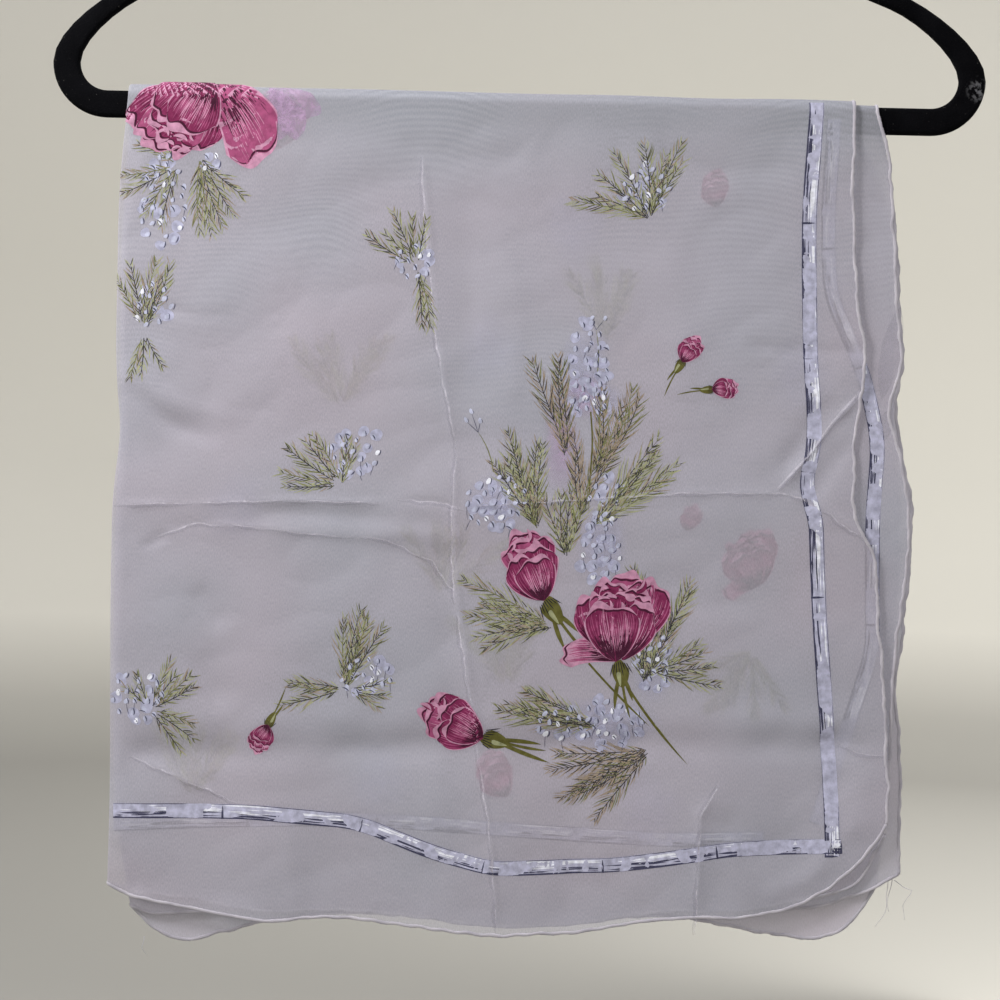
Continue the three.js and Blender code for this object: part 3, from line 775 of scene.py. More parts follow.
def calyx(pen, length=11, reach=26, sepals=((-26, 20), (24, 16))):
    """The green cup under a bloom, its long sepals and its stem, below the origin."""
    pen.level += 1
    for angle, long in sepals:
        pen.stroke("leaf_green", bow((0, -4), -90 + angle, long, -angle * 0.8, 9), 2.2, (0.9, 0))
    stem(pen, (0.2, -length + 3), -90, reach, 10, 1.5)
    pen.level += 1
    Petal((0, -length), (0, 2.5), 9.5, ruffle=0.07, open_at=3).fill(pen, "leaf_green")
    pen.level += 1
    Petal((-1.0, -length + 1), (-1.4, -1), 2.6).fill(pen, "pale_green", last=0.8)
    for i in range(8):
        x = -3.6 + 1.05 * i
        pen.stroke("black", bow((x, 2.2 - abs(x) * 0.3), -90 + 6 * x, draw.uniform(3, 8), 4, 4),
                   0.55, (0.8, 0))


def ruffles(pen, middle, spread, count):
    """Small folds that turn over every way in the crowded heart of a bloom."""
    for _ in range(count):
        start = (middle[0] + draw.uniform(-1, 1) * spread[0], middle[1] + draw.uniform(-1, 1) * spread[1])
        fold = bow(start, draw.uniform(-60, 60), draw.uniform(4, 8), draw.choice((-80, 80)), 9)
        pen.stroke("magenta", fold - (0, 1.3), draw.uniform(2.4, 3.8), (0.1, 0.1))
        pen.level += 1
        pen.stroke("plum", fold - (0, 0.8), draw.uniform(0.6, 1.3), (0.1, 0.1))
        pen.level += 1
        pen.stroke("pink", fold, draw.uniform(1.2, 2.4), (0.1, 0.1))
        pen.level += 1


def bud(pen):
    """A half-open rosebud, its base at the origin: rolled rims over deep, hatched cups."""
    pen.level += 4
    Petal((0, 6), (1, 36), 19, ruffle=0.06).paint(pen, 5, 9, 0.85, "rose", 0.08)
    Petal((1, 6), (8, 31), 17, ruffle=0.06).paint(pen, 5, 9, 0.8)
    Petal((-1, 6), (-6, 32), 18, ruffle=0.07).paint(pen, 5, 9, 0.8, "rose", 0.09)
    ruffles(pen, (-3, 27), (7, 5), 7)
    Petal((2, 1), (6, 26), 19, ruffle=0.07).paint(pen, 7, 11, 0.7)
    Petal((-1, 0), (-8, 24), 16, bend=2).paint(pen, 7, 11, 0.6)
    Petal((0, -0.5), (0.5, 20), 22, ruffle=0.08, notch=-0.06, open_at=2.6).paint(pen, 16, 18, 0.5)


def bloom(pen):
    """An open rose seen from the side: a deep cup, tall outer petals and a crowded heart."""
    pen.level += 4
    Petal((2, 0), (-27, 1), 14, bend=-3).paint(pen, 4, 13, 0.7, "pink", 0.05)
    Petal((6, 6), (19, 39), 21, bend=-2).paint(pen, 6, 12, 0.75)
    Petal((-4, 4), (-16, 30), 18, bend=3).paint(pen, 5, 12, 0.75)
    heart = ((3, 42, 22, "rose"), (-7, 38, 17, "magenta"), (11, 40, 17, "rose"), (-3, 38, 16, "magenta"),
             (7, 36, 19, "magenta"), (-9, 33, 15, "rose"), (1, 33, 18, "magenta"), (11, 32, 14, "magenta"))
    for x, high, width, body in heart:
        Petal((0.4 * x, 8), (x, high), width, ruffle=0.07).paint(pen, 3, 7, 0.9, body, 0.08)
    ruffles(pen, (-2, 32), (12, 6), 13)
    Petal((3, 0), (13, 28), 18, bend=-2).paint(pen, 6, 12, 0.7)
    Petal((0, -1), (-4, 26), 29, ruffle=0.08, notch=-0.05, open_at=2.6).paint(pen, 20, 24, 0.55)


def band(side, layer, line, seed):
    """A plain border band in lengths: pale, with a dark broken edge and dry-brush hatching."""
    pen = Pen(side, layer, 0, 0)
    own = random.Random(seed)
    line = np.array(line, float) * (1, -1)
    along = along_line(line, np.arange(0, far_along(line)[-1], 2.4))
    padded = np.concatenate([along[:1].repeat(4, 0), along, along[-1:].repeat(4, 0)])
    along = np.stack([np.convolve(padded[:, k], np.ones(9) / 9, "valid") for k in (0, 1)], -1)
    across = unit(np.gradient(along, axis=0)[:, ::-1] * (-1, 1))

    def ribbon(ink, first, last, offset, width, ends=(1, 1)):
        if last - first >= 2:
            pen.stroke(ink, along[first:last] + across[first:last] * offset, width, ends)

    first = 0
    while first < len(along) - 3:
        pen.level = 0
        last = min(first + own.randint(24, 31), len(along))
        ribbon("band", first, last, 0, 6.8)
        pen.level = 1
        for offset, width in ((-3.2, 0.9), (3.3, 0.35)):
            ribbon("slate", first, last, offset, width, (0.6, 0.6))
        for ink, times, low, high, long in (("white", 16, -1.0, 2.9, 12), ("slate", 20, -3.1, -0.2, 10)):
            for _ in range(times):
                start = first + own.randint(0, max(1, last - first - 6))
                ribbon(ink, start, min(last, start + own.randint(3, long)), own.uniform(low, high),
                       own.uniform(0.3, 0.9), (0, 0))
        middle, edge = along[last - 1], across[last - 1]
        pen.stroke("slate", [middle - edge * 3.6, middle, middle + edge * 2.6], 1.0, (1, 0.2))
        first = last - 1


# Fern fans: x, depth, fronds, length, first and last angle, how dark, and whether straw-coloured
BOUQUET_FERNS = [
    (41, 180, 5, 36, 46, 96, 0.4, 1), (26, 174, 3, 44, 86, 112, 0.6, 1),
    (16, 208, 6, 42, 94, 130, 0.6, 0), (30, 222, 5, 32, 70, 118, 0.5, 0),
    (36, 200, 4, 32, 66, 112, 0.5, 1), (41, 206, 5, 44, 28, 64, 0.4, 0),
    (24, 254, 6, 38, 146, 196, 0.6, 0),
    (68, 282, 6, 46, 62, 104, 0.7, 0), (70, 274, 4, 26, -22, 34, 0.6, 0),
    (46, 302, 6, 40, 146, 182, 0.5, 0), (72, 312, 6, 42, 182, 232, 0.8, 1),
]
# Clouds of drops: x, depth, how many, half width and half height
BOUQUET_BERRIES = [
    (38, 126, 34, 10, 19), (-5, 195, 38, 15, 13), (46, 192, 16, 7, 13), (46, 216, 28, 10, 15),
    (72, 266, 26, 8, 18), (30, 300, 16, 15, 8), (52, 299, 32, 15, 11), (38, 146, 12, 9, 5),
]
# Sprigs: x, depth of the drops, how many and their spread; then fans from one foot
SPRIGS = [
    (63, 42, 22, 11, 12, (66, 57), ((4, 32, 112, 172), (4, 34, 62, 98))),
    (-47, 80, 18, 9, 8, (-45, 82), ((5, 22, 70, 165), (2, 24, -90, -62))),
    (-76, 172, 20, 12, 11, (-80, 188), ((5, 28, 110, 195), (2, 20, 60, 100))),
    (-172, 104, 16, 9, 11, (-176, 116), ((5, 27, 55, 120), (3, 18, 240, 300))),
    (-66, 280, 20, 12, 9, (-76, 286), ((5, 32, 55, 100), (3, 26, 165, 205), (3, 18, -40, 20))),
    (-176, 292, 22, 12, 12, (-170, 298), ((4, 24, 20, 80), (3, 22, -60, 0), (2, 14, 100, 150))),
    (-168, 54, 30, 11, 23, (-162, 36), ((4, 24, 190, 260), (2, 20, 120, 160))),
    (-146, 36, 4, 6, 6, (-152, 32), ((5, 30, -100, -40),)),
]

# Painted shade where the inner layer doubles over by its edge: a line and its width
DOUBLED_EDGE_PAINTED_SHADE = [([(188, -96), (184, -118), (179, -141)], 10), ([(184, -145), (173, -165)], 8)]


def sprig(side, layer, x, depth, count, wide, high, foot, fans, shift=(0, 0)):
    for number, length, first, last in fans:
        fern(Pen(side, layer, foot[0] + shift[0], foot[1] + shift[1], level=1), number, length,
             first, last, 0.5)
    berries(Pen(side, layer, x + shift[0], depth + shift[1]), count, wide, high, 0.6)


def bouquet(side, layer, shift=(0, 0)):
    def pen(x, depth, turn=0.0, size=1.0, level=0):
        return Pen(side, layer, x + shift[0], depth + shift[1], turn, size, level)

    for x, depth, wide, high in ((36, 130, 13, 24), (46, 150, 10, 16), (-4, 193, 17, 15),
                                 (47, 214, 13, 22), (72, 268, 11, 24), (46, 300, 32, 14)):
        pen(x, depth).blot("lilac_wash", 0, 0, wide, high, 0, 0.06, 6, 20)
    pen(24, 166).blot("mauve_wash", 0, 0, 10, 27, 4, 0.06, 6, 20)
    pen(36, 142).blot("mauve_wash", 0, 0, 12, 12, 0, 0.06, 6, 20)
    for x, depth, fronds, length, first, last, dark, straw in BOUQUET_FERNS:
        fern(pen(x, depth, level=1), fronds, length, first, last, dark, STRAWS if straw else GREENS)
    for x, depth, count, wide, high in BOUQUET_BERRIES:
        berries(pen(x, depth), count, wide, high, 0.7)
    stem(pen(38, 150, level=1), (0, 0), -90, 48, 4, 0.8)
    twig(pen(-8, 180, 6, level=1), 21)
    twig(pen(42, 132, -18, 0.9, level=1), 24, 2)
    stem(pen(56, 276, level=3), (0, 0), -58, 54, 12)
    stem(pen(41, 271, level=3), (0, 0), -48, 42, 6, 1.1)
    calyx(pen(21, 243, 36, 1.0, 3), 12, 26)
    bud(pen(19, 241, 20, 0.98))
    calyx(pen(56, 272, 8, 0.9, 3), 12, 20)
    bloom(pen(54, 269, -3, 0.98))
    calyx(pen(-8, 308, 75, 0.95, 3), 12, 22, ((-10, 30), (16, 24)))
    bud(pen(-10, 308, 63, 0.9))


def small_buds(side, layer, places):
    for x, depth, turn, size in places:
        calyx(Pen(side, layer, x, depth, turn, size * 1.15, level=3), 15, 30, ((-14, 22),))
        bud(Pen(side, layer, x, depth, turn, size))


def painted_crease_shading(side, creases):
    """Painted light along each pressed crease: a broken line of painted highlight with painted shade beside
    it.
    """
    pen = Pen(side, "outer", 0, 0)
    for _, _, pressed, line in creases:
        if not pressed:
            continue
        line = np.array(line, float) * (1, -1)
        length = far_along(line)[-1]
        start = draw.uniform(0, 5)
        while start < length - 6:
            t = np.linspace(start, min(start + draw.uniform(14, 46), length), 16)
            wobble = 0.3 * np.sin(t / 3.1) + 0.2 * np.sin(t / 1.3)
            along = along_line(line, t) + wobble[:, None]
            across = unit(np.gradient(along, axis=0)[:, ::-1] * (-1, 1))
            if pressed == 2:
                # painted shade laid over the crease line, with painted highlight beside it
                pen.stroke("pressed_shade", along, 0.9, (0.7, 0.7))
                pen.stroke("pressed_shade", along - across * 0.5, 1.8, (0.5, 0.5))
                pen.stroke("pressed_edge", along + across * 1.1, 1.0, (0.4, 0.4))
                start = t[-1]
                continue
            # painted highlight along the crease, with painted shade beside it
            pen.stroke("pressed_edge", along, draw.uniform(0.5, 1.0), (0.2, 0.2))
            pen.stroke("pressed_shade", along - across * 0.9, draw.uniform(1.2, 2.2), (0.2, 0.2))
            start = t[-1] + draw.uniform(-3, 5)


def draw_print():
    """Painted highlight and shade along the creases and painted shade over the inner layer's doubled edge,
    then the print: a bouquet, sprigs, buds and a border.
    """
    painted_crease_shading("front", FRONT_CREASES)
    painted_crease_shading("back", BACK_CREASES)
    # painted shade over the inner layer's doubled edge
    for line, width in DOUBLED_EDGE_PAINTED_SHADE:
        path = np.array(line, float)
        path = np.stack([np.interp(np.linspace(0, 1, 12), np.linspace(0, 1, len(path)), path[:, k])
                         for k in (0, 1)], -1)
        Pen("front", "inner", 0, 0).stroke("pressed_shade", path, width)
    bouquet("front", "outer")
    for row in SPRIGS:
        sprig("front", "outer", *row)
    small_buds("front", "outer", ((83, 125, -32, 0.40), (97, 138, -84, 0.36), (-113, 304, 152, 0.42)))
    bloom(Pen("front", "outer", -150, -4, 146, 0.98))
    corner = Pen("front", "outer", -150, -6, level=60)
    Petal((0, 0), (29, -38), 31, bend=3, ruffle=0.03).paint(corner, 14, 22, 0.62, "rose", 0.07)
    for x, depth in ((-104, 20), (-112, 22), (-98, 10)):  # the inner layer's bloom, close under it
        Petal((-122, 2), (x, -depth), 14).fill(Pen("front", "outer", 0, 0), "mauve_wash")

    # the inner layer, seen faintly through the outer one
    for side, slip in (("front", 0), ("back", 8)):
        bloom(Pen(side, "inner", 122 - slip, 232 + slip, 20, 0.62))
        bud(Pen(side, "inner", 87 - slip, 206 + slip, -20, 0.36))
        bud(Pen(side, "inner", 2 - slip, 336 - slip, 30, 0.66))
        bud(Pen(side, "inner", 98 + slip, 50 + slip, 10, 0.5))
        bloom(Pen(side, "inner", -114 + slip, 26 + slip, 10, 0.72))
        for x, depth, first, last in ((46, 116, 60, 120), (-82, 150, 40, 140), (120, 262, 200, 300),
                                      (2, 284, 60, 130), (-150, 340, 40, 130), (-30, 240, 40, 120)):
            fern(Pen(side, "inner", x + slip, depth + slip), 5, 34, first, last, 0.3)
        for x, depth in ((-10, 120), (-130, 200), (70, 340), (140, 130), (-60, 330), (30, 60)):
            Pen(side, "inner", x - slip, depth).blot("lilac_wash", 0, 0, 17, 20, 0, 0.1, 6, 20)

    # the back of the outer layer, in its own order
    bouquet("back", "outer", (-62, -14))
    for number, row in enumerate(SPRIGS[:6]):
        sprig("back", "outer", *row, shift=(34 * math.cos(2.3 * number), 22 * math.sin(2.3 * number)))
    small_buds("back", "outer", ((10, 110, 50, 0.4), (-120, 150, -40, 0.4), (130, 300, 120, 0.4)))

    # border: down the right-hand side and along the bottom of every leaf
    down = [(141, -3), (144, 93), (146, 150), (142, 186), (149, 196), (152, 248), (155, 286),
            (158, 330), (159, 366)]
    level = [(-190, 347), (-120, 346), (-70, 350), (-32, 364), (-4, 371), (55, 368), (110, 359),
             (166, 356)]
    band("front", "outer", down, 1)
    band("front", "outer", level, 2)
    band("back", "outer", [(x + 6, depth) for x, depth in down], 3)
    band("back", "outer", [(x, depth + 6 * math.sin(x / 60)) for x, depth in level], 4)
    inside = [(150, 4), (154, 90), (170, 126), (175, 150), (177, 210), (178, 262), (166, 300), (150, 350)]
    for number, side in enumerate(("front", "back")):
        band(side, "inner", [(x - 2 * number, depth) for x, depth in inside], 5 + number)
        band(side, "inner", [(x, 352 + 3 * math.sin(x / 50 + number)) for x in range(-190, 150, 20)],
             7 + number)


# ---- Materials ------------------------------------------------------------------------------------
def plug(tree, socket, value):
    """Feeds a socket from another's output, or gives it a constant."""
    if isinstance(value, bpy.types.NodeSocket):
        tree.links.new(value, socket)
    elif socket.type == "RGBA" and len(value) == 3:
        socket.default_value = (*value, 1)
    else:
        socket.default_value = value


def node(tree, kind, inputs=None, **settings):
    made = tree.nodes.new(kind)
    for name, value in settings.items():
        setattr(made, name, value)
    for name, value in (inputs or {}).items():
        plug(tree, made.inputs[name], value)
    return made


def maths(tree, operation, a, b=0.0, clamp=False):
    made = node(tree, "ShaderNodeMath", {0: a, 1: b}, operation=operation, use_clamp=clamp)
    return made.outputs[0]


def mixed(tree, share, first, second, blend="MIX"):
    made = node(tree, "ShaderNodeMix", data_type="RGBA", blend_type=blend)
    for slot, value in ((0, share), (6, first), (7, second)):
        plug(tree, made.inputs[slot], value)
    return made.outputs[2]


def ranged(tree, value, low, high, to_low=0.0, to_high=1.0):
    return node(tree, "ShaderNodeMapRange",
                {"Value": value, "From Min": low, "From Max": high,
                 "To Min": to_low, "To Max": to_high}).outputs[0]


def noise(tree, vector, scale, detail=3.0, stretch=(1, 1, 1)):
    mapped = node(tree, "ShaderNodeMapping", {"Vector": vector, "Scale": stretch}).outputs[0]
    return node(tree, "ShaderNodeTexNoise",
                {"Vector": mapped, "Scale": scale, "Detail": detail}).outputs["Fac"]


def new_group(name, inputs, outputs):
    tree = bpy.data.node_groups.new(name, "ShaderNodeTree")
    for label, kind in inputs:
        tree.interface.new_socket(label, in_out="INPUT", socket_type=kind)
    for label, kind in outputs:
        tree.interface.new_socket(label, in_out="OUTPUT", socket_type=kind)
    return tree, tree.nodes.new("NodeGroupInput"), tree.nodes.new("NodeGroupOutput")


THREAD_PITCH = 0.00034  # metres
WATERED_LINES = 340.0   # a metre


def chiffon_weave():
    """Crepe threads on the flat cut: fine slubs both ways, and a height for the bump."""
    tree, given, made = new_group(
        "chiffon weave", [("Cut", "NodeSocketVector")],
        [("Height", "NodeSocketFloat"), ("Slubs", "NodeSocketFloat")])
    spread = node(tree, "ShaderNodeSeparateXYZ", {"Vector": given.outputs["Cut"]})
    warp, weft = (
        maths(tree, "SINE", maths(tree, "MULTIPLY", spread.outputs[way], 2 * math.pi / THREAD_PITCH))
        for way in "XY")
    tree.links.new(maths(tree, "ADD", warp, weft), made.inputs["Height"])
    slubs = noise(tree, given.outputs["Cut"], 2300, 1, (1, 0.3, 1))
    tree.links.new(maths(tree, "SUBTRACT", slubs, 0.5), made.inputs["Slubs"])
    return tree


def watered_lines():
    """The faint watered bands where sheer layers lie together, strongest near the bar."""
    tree, given, made = new_group(
        "watered lines", [("Cut", "NodeSocketVector")],
        [("Bands", "NodeSocketFloat"), ("Cloud", "NodeSocketFloat")])
    cut = given.outputs["Cut"]
    spread = node(tree, "ShaderNodeSeparateXYZ", {"Vector": cut})
    cloudy = noise(tree, cut, 11, 1)
    tree.links.new(cloudy, made.inputs["Cloud"])
    across = maths(tree, "MULTIPLY", spread.outputs["Y"], WATERED_LINES)
    phase = maths(tree, "ADD", across, maths(tree, "MULTIPLY", cloudy, 15.0))
    waves = maths(tree, "SINE", maths(tree, "MULTIPLY", phase, 2 * math.pi))
    near_bar = ranged(tree, maths(tree, "ABSOLUTE", spread.outputs["Y"]), 0.06, 0.19, 1.0, 0.0)
    patches = ranged(tree, cloudy, 0.40, 0.62)
    strength = maths(tree, "MULTIPLY", near_bar, patches)
    tree.links.new(maths(tree, "MULTIPLY", waves, strength), made.inputs["Bands"])
    return tree


weave_group, watered_group = chiffon_weave(), watered_lines()


def grouped(tree, group, cut):
    made = node(tree, "ShaderNodeGroup")
    made.node_tree = group
    tree.links.new(cut, made.inputs["Cut"])
    return made.outputs


def new_material(name, **sockets):
    material = bpy.data.materials.new(name)
    material.use_nodes = True
    tree = material.node_tree
    shader = tree.nodes["Principled BSDF"]
    for label, value in sockets.items():
        shader.inputs[label.replace("_", " ")].default_value = value
    return material, tree, shader


def bumped(tree, shader, height, strength, distance):
    bump = node(tree, "ShaderNodeBump",
                {"Height": height, "Strength": strength, "Distance": distance})
    tree.links.new(bump.outputs["Normal"], shader.inputs["Normal"])


def woven(tree, shader, weave, smoothest, roughest, strength, distance):
    """The threads show in the roughness and in the bump."""
    roughness = ranged(tree, weave["Height"], -1.5, 1.5, smoothest, roughest)
    plug(tree, shader.inputs["Roughness"], roughness)
    bumped(tree, shader, weave["Height"], strength, distance)


def uv_map(tree, name="cut"):
    return node(tree, "ShaderNodeUVMap", uv_map=name).outputs["UV"]


def chiffon(name, closeness):
    """Sheer lilac-grey crepe, cooler by the bar, with watered bands where the layers touch."""
    material, tree, shader = new_material(
        name, Sheen_Weight=0.12, Sheen_Roughness=0.5,
        Sheen_Tint=(0.88, 0.86, 0.95, 1), Specular_IOR_Level=0.2)
    cut = uv_map(tree)
    weave = grouped(tree, weave_group, cut)
    lines = grouped(tree, watered_group, cut)
    watered, cloud = lines["Bands"], ranged(tree, lines["Cloud"], 0.36, 0.64)
    tint = mixed(tree, cloud, (0.490, 0.456, 0.519), (0.448, 0.448, 0.509))
    run = node(tree, "ShaderNodeSeparateXYZ", {"Vector": cut}).outputs["Y"]
    by_bar = ranged(tree, maths(tree, "ABSOLUTE", run), 0.012, 0.05, 0.55, 0.0)
    tint = mixed(tree, by_bar, tint, (0.375, 0.400, 0.445))
    shade = maths(tree, "ADD", maths(tree, "MULTIPLY", weave["Slubs"], 0.25),
                  maths(tree, "MULTIPLY", watered, 0.030))
    dark = mixed(tree, maths(tree, "ADD", shade, 0.5, clamp=True), (0.80, 0.80, 0.80),
                 (1.20, 1.20, 1.20))
    plug(tree, shader.inputs["Base Color"], mixed(tree, 1.0, tint, dark, "MULTIPLY"))
    cover = maths(tree, "ADD", maths(tree, "MULTIPLY", weave["Slubs"], 0.25), closeness)
    tree.links.new(maths(tree, "ADD", cover, maths(tree, "MULTIPLY", watered, 0.04)),
                   shader.inputs["Alpha"])
    woven(tree, shader, weave, 0.66, 0.86, 0.25, 0.0002)
    return material


def hem_cloth():
    """The cloth rolled on itself, so paler and closer, with the stitches' uneven pull."""
    material, tree, shader = new_material(
        "rolled hem", Sheen_Weight=0.15, Sheen_Tint=(0.9, 0.9, 1, 1), Specular_IOR_Level=0.2)
    cut = uv_map(tree)
    weave = grouped(tree, weave_group, cut)
    uneven = ranged(tree, noise(tree, cut, 90, 2), 0.35, 0.65)
    colour = mixed(tree, uneven, (0.400, 0.380, 0.430), (0.530, 0.505, 0.555))
    tree.links.new(colour, shader.inputs["Base Color"])
    woven(tree, shader, weave, 0.7, 0.9, 0.4, 0.0003)
    return material


def ink_material(name, colour):
    """Ink soaked into the cloth: a little uneven, and it lets the weave show."""
    material, tree, shader = new_material(
        f"{name.replace('_', ' ')} ink", Sheen_Weight=0.06, Specular_IOR_Level=0.12)
    cut = uv_map(tree)
    weave = grouped(tree, weave_group, cut)
    patchy = noise(tree, cut, 300, 2)
    share = maths(tree, "ADD", ranged(tree, patchy, 0.3, 0.7),
                  maths(tree, "MULTIPLY", weave["Slubs"], 0.6), clamp=True)
    light, dark = tuple(1.25 * c + 0.008 for c in colour), tuple(0.80 * c for c in colour)
    tree.links.new(mixed(tree, share, dark, light), shader.inputs["Base Color"])
    # the sheer ones include the painted shade and painted highlight of the creases
    if name in SHEER:
        soak = node(tree, "ShaderNodeSeparateXYZ", {"Vector": uv_map(tree, "soak")}).outputs["X"]
        cover = maths(tree, "MULTIPLY", soak, ranged(tree, patchy, 0.3, 0.7, *SHEER[name]))
        tree.links.new(cover, shader.inputs["Alpha"])
    woven(tree, shader, weave, 0.7, 0.88, 0.25, 0.0002)
    return material


def flock():
    """Dense black flocking: it drinks the light, with lint and a pale scuff at the right-hand end."""
    material, tree, shader = new_material(
        "black flocking", Sheen_Weight=0.02, Sheen_Roughness=0.35,
        Sheen_Tint=(0.75, 0.78, 0.85, 1), Specular_IOR_Level=0.06)
    here = node(tree, "ShaderNodeTexCoord").outputs["Object"]
    nap = noise(tree, here, 1500, 3)
    drift = noise(tree, here, 60, 4)
    base = mixed(tree, ranged(tree, drift, 0.35, 0.7), (0.0008, 0.0008, 0.0014),
                 (0.0024, 0.0024, 0.0034))
    lint = ranged(tree, noise(tree, here, 700, 1), 0.74, 0.78)
    base = mixed(tree, maths(tree, "MULTIPLY", lint, 0.3), base, (0.20, 0.19, 0.18))
    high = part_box("hanger_body")[1]
    scuff_at = node(tree, "ShaderNodeVectorMath", operation="DISTANCE")
    tree.links.new(here, scuff_at.inputs[0])
    scuff_at.inputs[1].default_value = (high[0] - 0.003, -0.003, (BAR_TOP + 9) * MM)
    near = ranged(tree, scuff_at.outputs["Value"], 0.0075, 0.002)
    worn = maths(tree, "MULTIPLY", near, ranged(tree, noise(tree, here, 420, 3), 0.48, 0.6))
    base = mixed(tree, worn, base, (0.12, 0.12, 0.13))
    tree.links.new(base, shader.inputs["Base Color"])
    tree.links.new(ranged(tree, nap, 0.3, 0.7, 0.86, 1.0), shader.inputs["Roughness"])
    bumped(tree, shader, nap, 0.6, 0.0006)
    return material


def plated_wire():
    material, tree, shader = new_material("plated wire", Metallic=1.0)
    here = node(tree, "ShaderNodeTexCoord").outputs["Object"]
    drawn = noise(tree, here, 240, 3, (1, 1, 0.12))
    colour = mixed(tree, ranged(tree, drawn, 0.3, 0.7), (0.58, 0.59, 0.61), (0.72, 0.73, 0.75))
    tree.links.new(colour, shader.inputs["Base Color"])
    tree.links.new(ranged(tree, drawn, 0.3, 0.7, 0.16, 0.34), shader.inputs["Roughness"])
    bumped(tree, shader, drawn, 0.15, 0.0003)
    return material


def floor_material():
    """Pale and matt, with painted shade: darker underfoot than on the wall it turns up into."""
    material, tree, shader = new_material("pale floor", Roughness=0.9, Specular_IOR_Level=0.1)
    here = node(tree, "ShaderNodeTexCoord").outputs["Object"]
    height = node(tree, "ShaderNodeSeparateXYZ", {"Vector": here}).outputs["Z"]
    up = ranged(tree, height, FLOOR, FLOOR + 0.2)
    cloud = ranged(tree, noise(tree, here, 1.2, 2), 0.3, 0.7, 0.0, 0.25)
    wall = mixed(tree, cloud, (0.71, 0.69, 0.62), (0.66, 0.64, 0.58))
    # painted shade: the floor colour is far darker than the wall's, so the backdrop darkens towards the
    # bottom
    tree.links.new(mixed(tree, up, (0.34, 0.33, 0.30), wall), shader.inputs["Base Color"])
    return material


# ---- Hanger ---------------------------------------------------------------------------------------
def from_solid(name, material, solid):
    """A smooth-shaded piece from a solid's own mesh, with its loose triangles joined."""
    bm = bmesh.new()
    bm.from_mesh(bpy.data.objects[solid].data)
    bmesh.ops.remove_doubles(bm, verts=bm.verts, dist=0.000002)
    bmesh.ops.dissolve_limit(bm, angle_limit=0.002, verts=bm.verts, edges=bm.edges)
    bmesh.ops.triangulate(bm, faces=bm.faces)
    for edge in bm.edges:
        edge.smooth = edge.calc_face_angle(0) < 0.7
    return piece(name, bm, material)


def hook_piece(material):
    """The wire: up the shank, a bend to the right and the bow over the rail, with a rounded tip."""
    low, high = (Vector(c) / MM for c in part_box("hanger_hook"))
    wire, inside = 3.6, 20.0
    radius = inside + wire / 2
    foot_angle, tip_angle = math.radians(-50), math.radians(205)
    foot = np.array([radius * math.cos(foot_angle), radius * math.sin(foot_angle) - inside])
    shank_top, handle = np.array([0, -62.0]), 12.0
    heading = np.array([-math.sin(foot_angle), math.cos(foot_angle)])
    t = np.linspace(0, 1, 16)[:, None]
    bend = ((1 - t) ** 3 * shank_top + 3 * (1 - t) ** 2 * t * (shank_top + [0, handle])
            + 3 * (1 - t) * t * t * (foot - heading * 9) + t ** 3 * foot)
    angle = np.linspace(foot_angle, tip_angle, 72)[1:]
    arc = np.stack([radius * np.cos(angle), radius * np.sin(angle) - inside], -1)
    shank = np.stack([np.zeros(12), np.linspace(low.z, shank_top[1], 12)], -1)[:-1]
    line = np.concatenate([shank, bend, arc])
    sides, count = 20, len(line)
    along = unit(np.gradient(line, axis=0))
    ends = np.minimum(np.arange(count)[::-1] / 2.5, 1)
    half = wire / 2 * np.sqrt(np.clip(1 - (1 - ends) ** 2, 0.06, 1))

    def shaped(flat):
        turn = 2 * math.pi * flat[:, 0] / sides
        at = np.rint(flat[:, 1]).astype(int)
        normal = np.stack([along[at, 1], np.zeros(len(at)), -along[at, 0]], -1)
        centre = np.stack([line[at, 0], np.zeros(len(at)), line[at, 1]], -1)
        ring = np.cos(turn)[:, None] * normal + np.sin(turn)[:, None] * np.array([0, 1, 0])
        return (centre + half[at][:, None] * ring) * MM

    return sealed(piece("wire_hook", flat_grid(sides, count - 1), material, shaped), 0.000005)


# ---- Loose threads --------------------------------------------------------------------------------
THREADS = [  # (x, depth) of the ends that have worked out of the hem at one corner
    [(189, 371), (188, 378), (186.4, 386), (184, 391), (181.4, 395.5)],
    [(190, 373), (194, 376), (198.3, 377.4), (196.4, 381), (194.6, 385.5), (194.9, 392)],
    [(187, 372), (186, 380), (187.5, 388)],
    [(-172, 408), (-173, 413), (-170.5, 417)],
]


def threads(material):
    """Each thread is a thin, tapering tube along its own line, a little behind the bar's middle."""
    bm = bmesh.new()
    sides, count = 6, 26
    for number, line in enumerate(THREADS):
        line = np.array(line, float)
        t = np.linspace(0, len(line) - 1, count)
        x, depth = (np.interp(t, range(len(line)), line[:, k]) for k in (0, 1))
        towards_back = 1.1 + 0.8 * np.sin(t * 1.7 + number)
        centre = np.stack([x + 0.3 * np.sin(3 * t), towards_back, BAR_TOP - depth], -1)
        along = unit(np.gradient(centre, axis=0))
        first = unit(np.cross(along, (0, 1, 0)))
        second = np.cross(along, first)
        made = bmesh.ops.create_grid(bm, x_segments=sides, y_segments=count - 1, size=0.5)["verts"]
        half = 0.16 * np.linspace(1, 0.45, count)
        for vert in made:
            turn = (vert.co.x + 0.5) * 2 * math.pi
            i = round((vert.co.y + 0.5) * (count - 1))
            ring = math.cos(turn) * first[i] + math.sin(turn) * second[i]
            vert.co = (centre[i] + half[i] * ring) * MM
    return piece("loose_threads", closed(bm, 0.00002), material, cut=lambda flat: flat[:, [0, 2]])


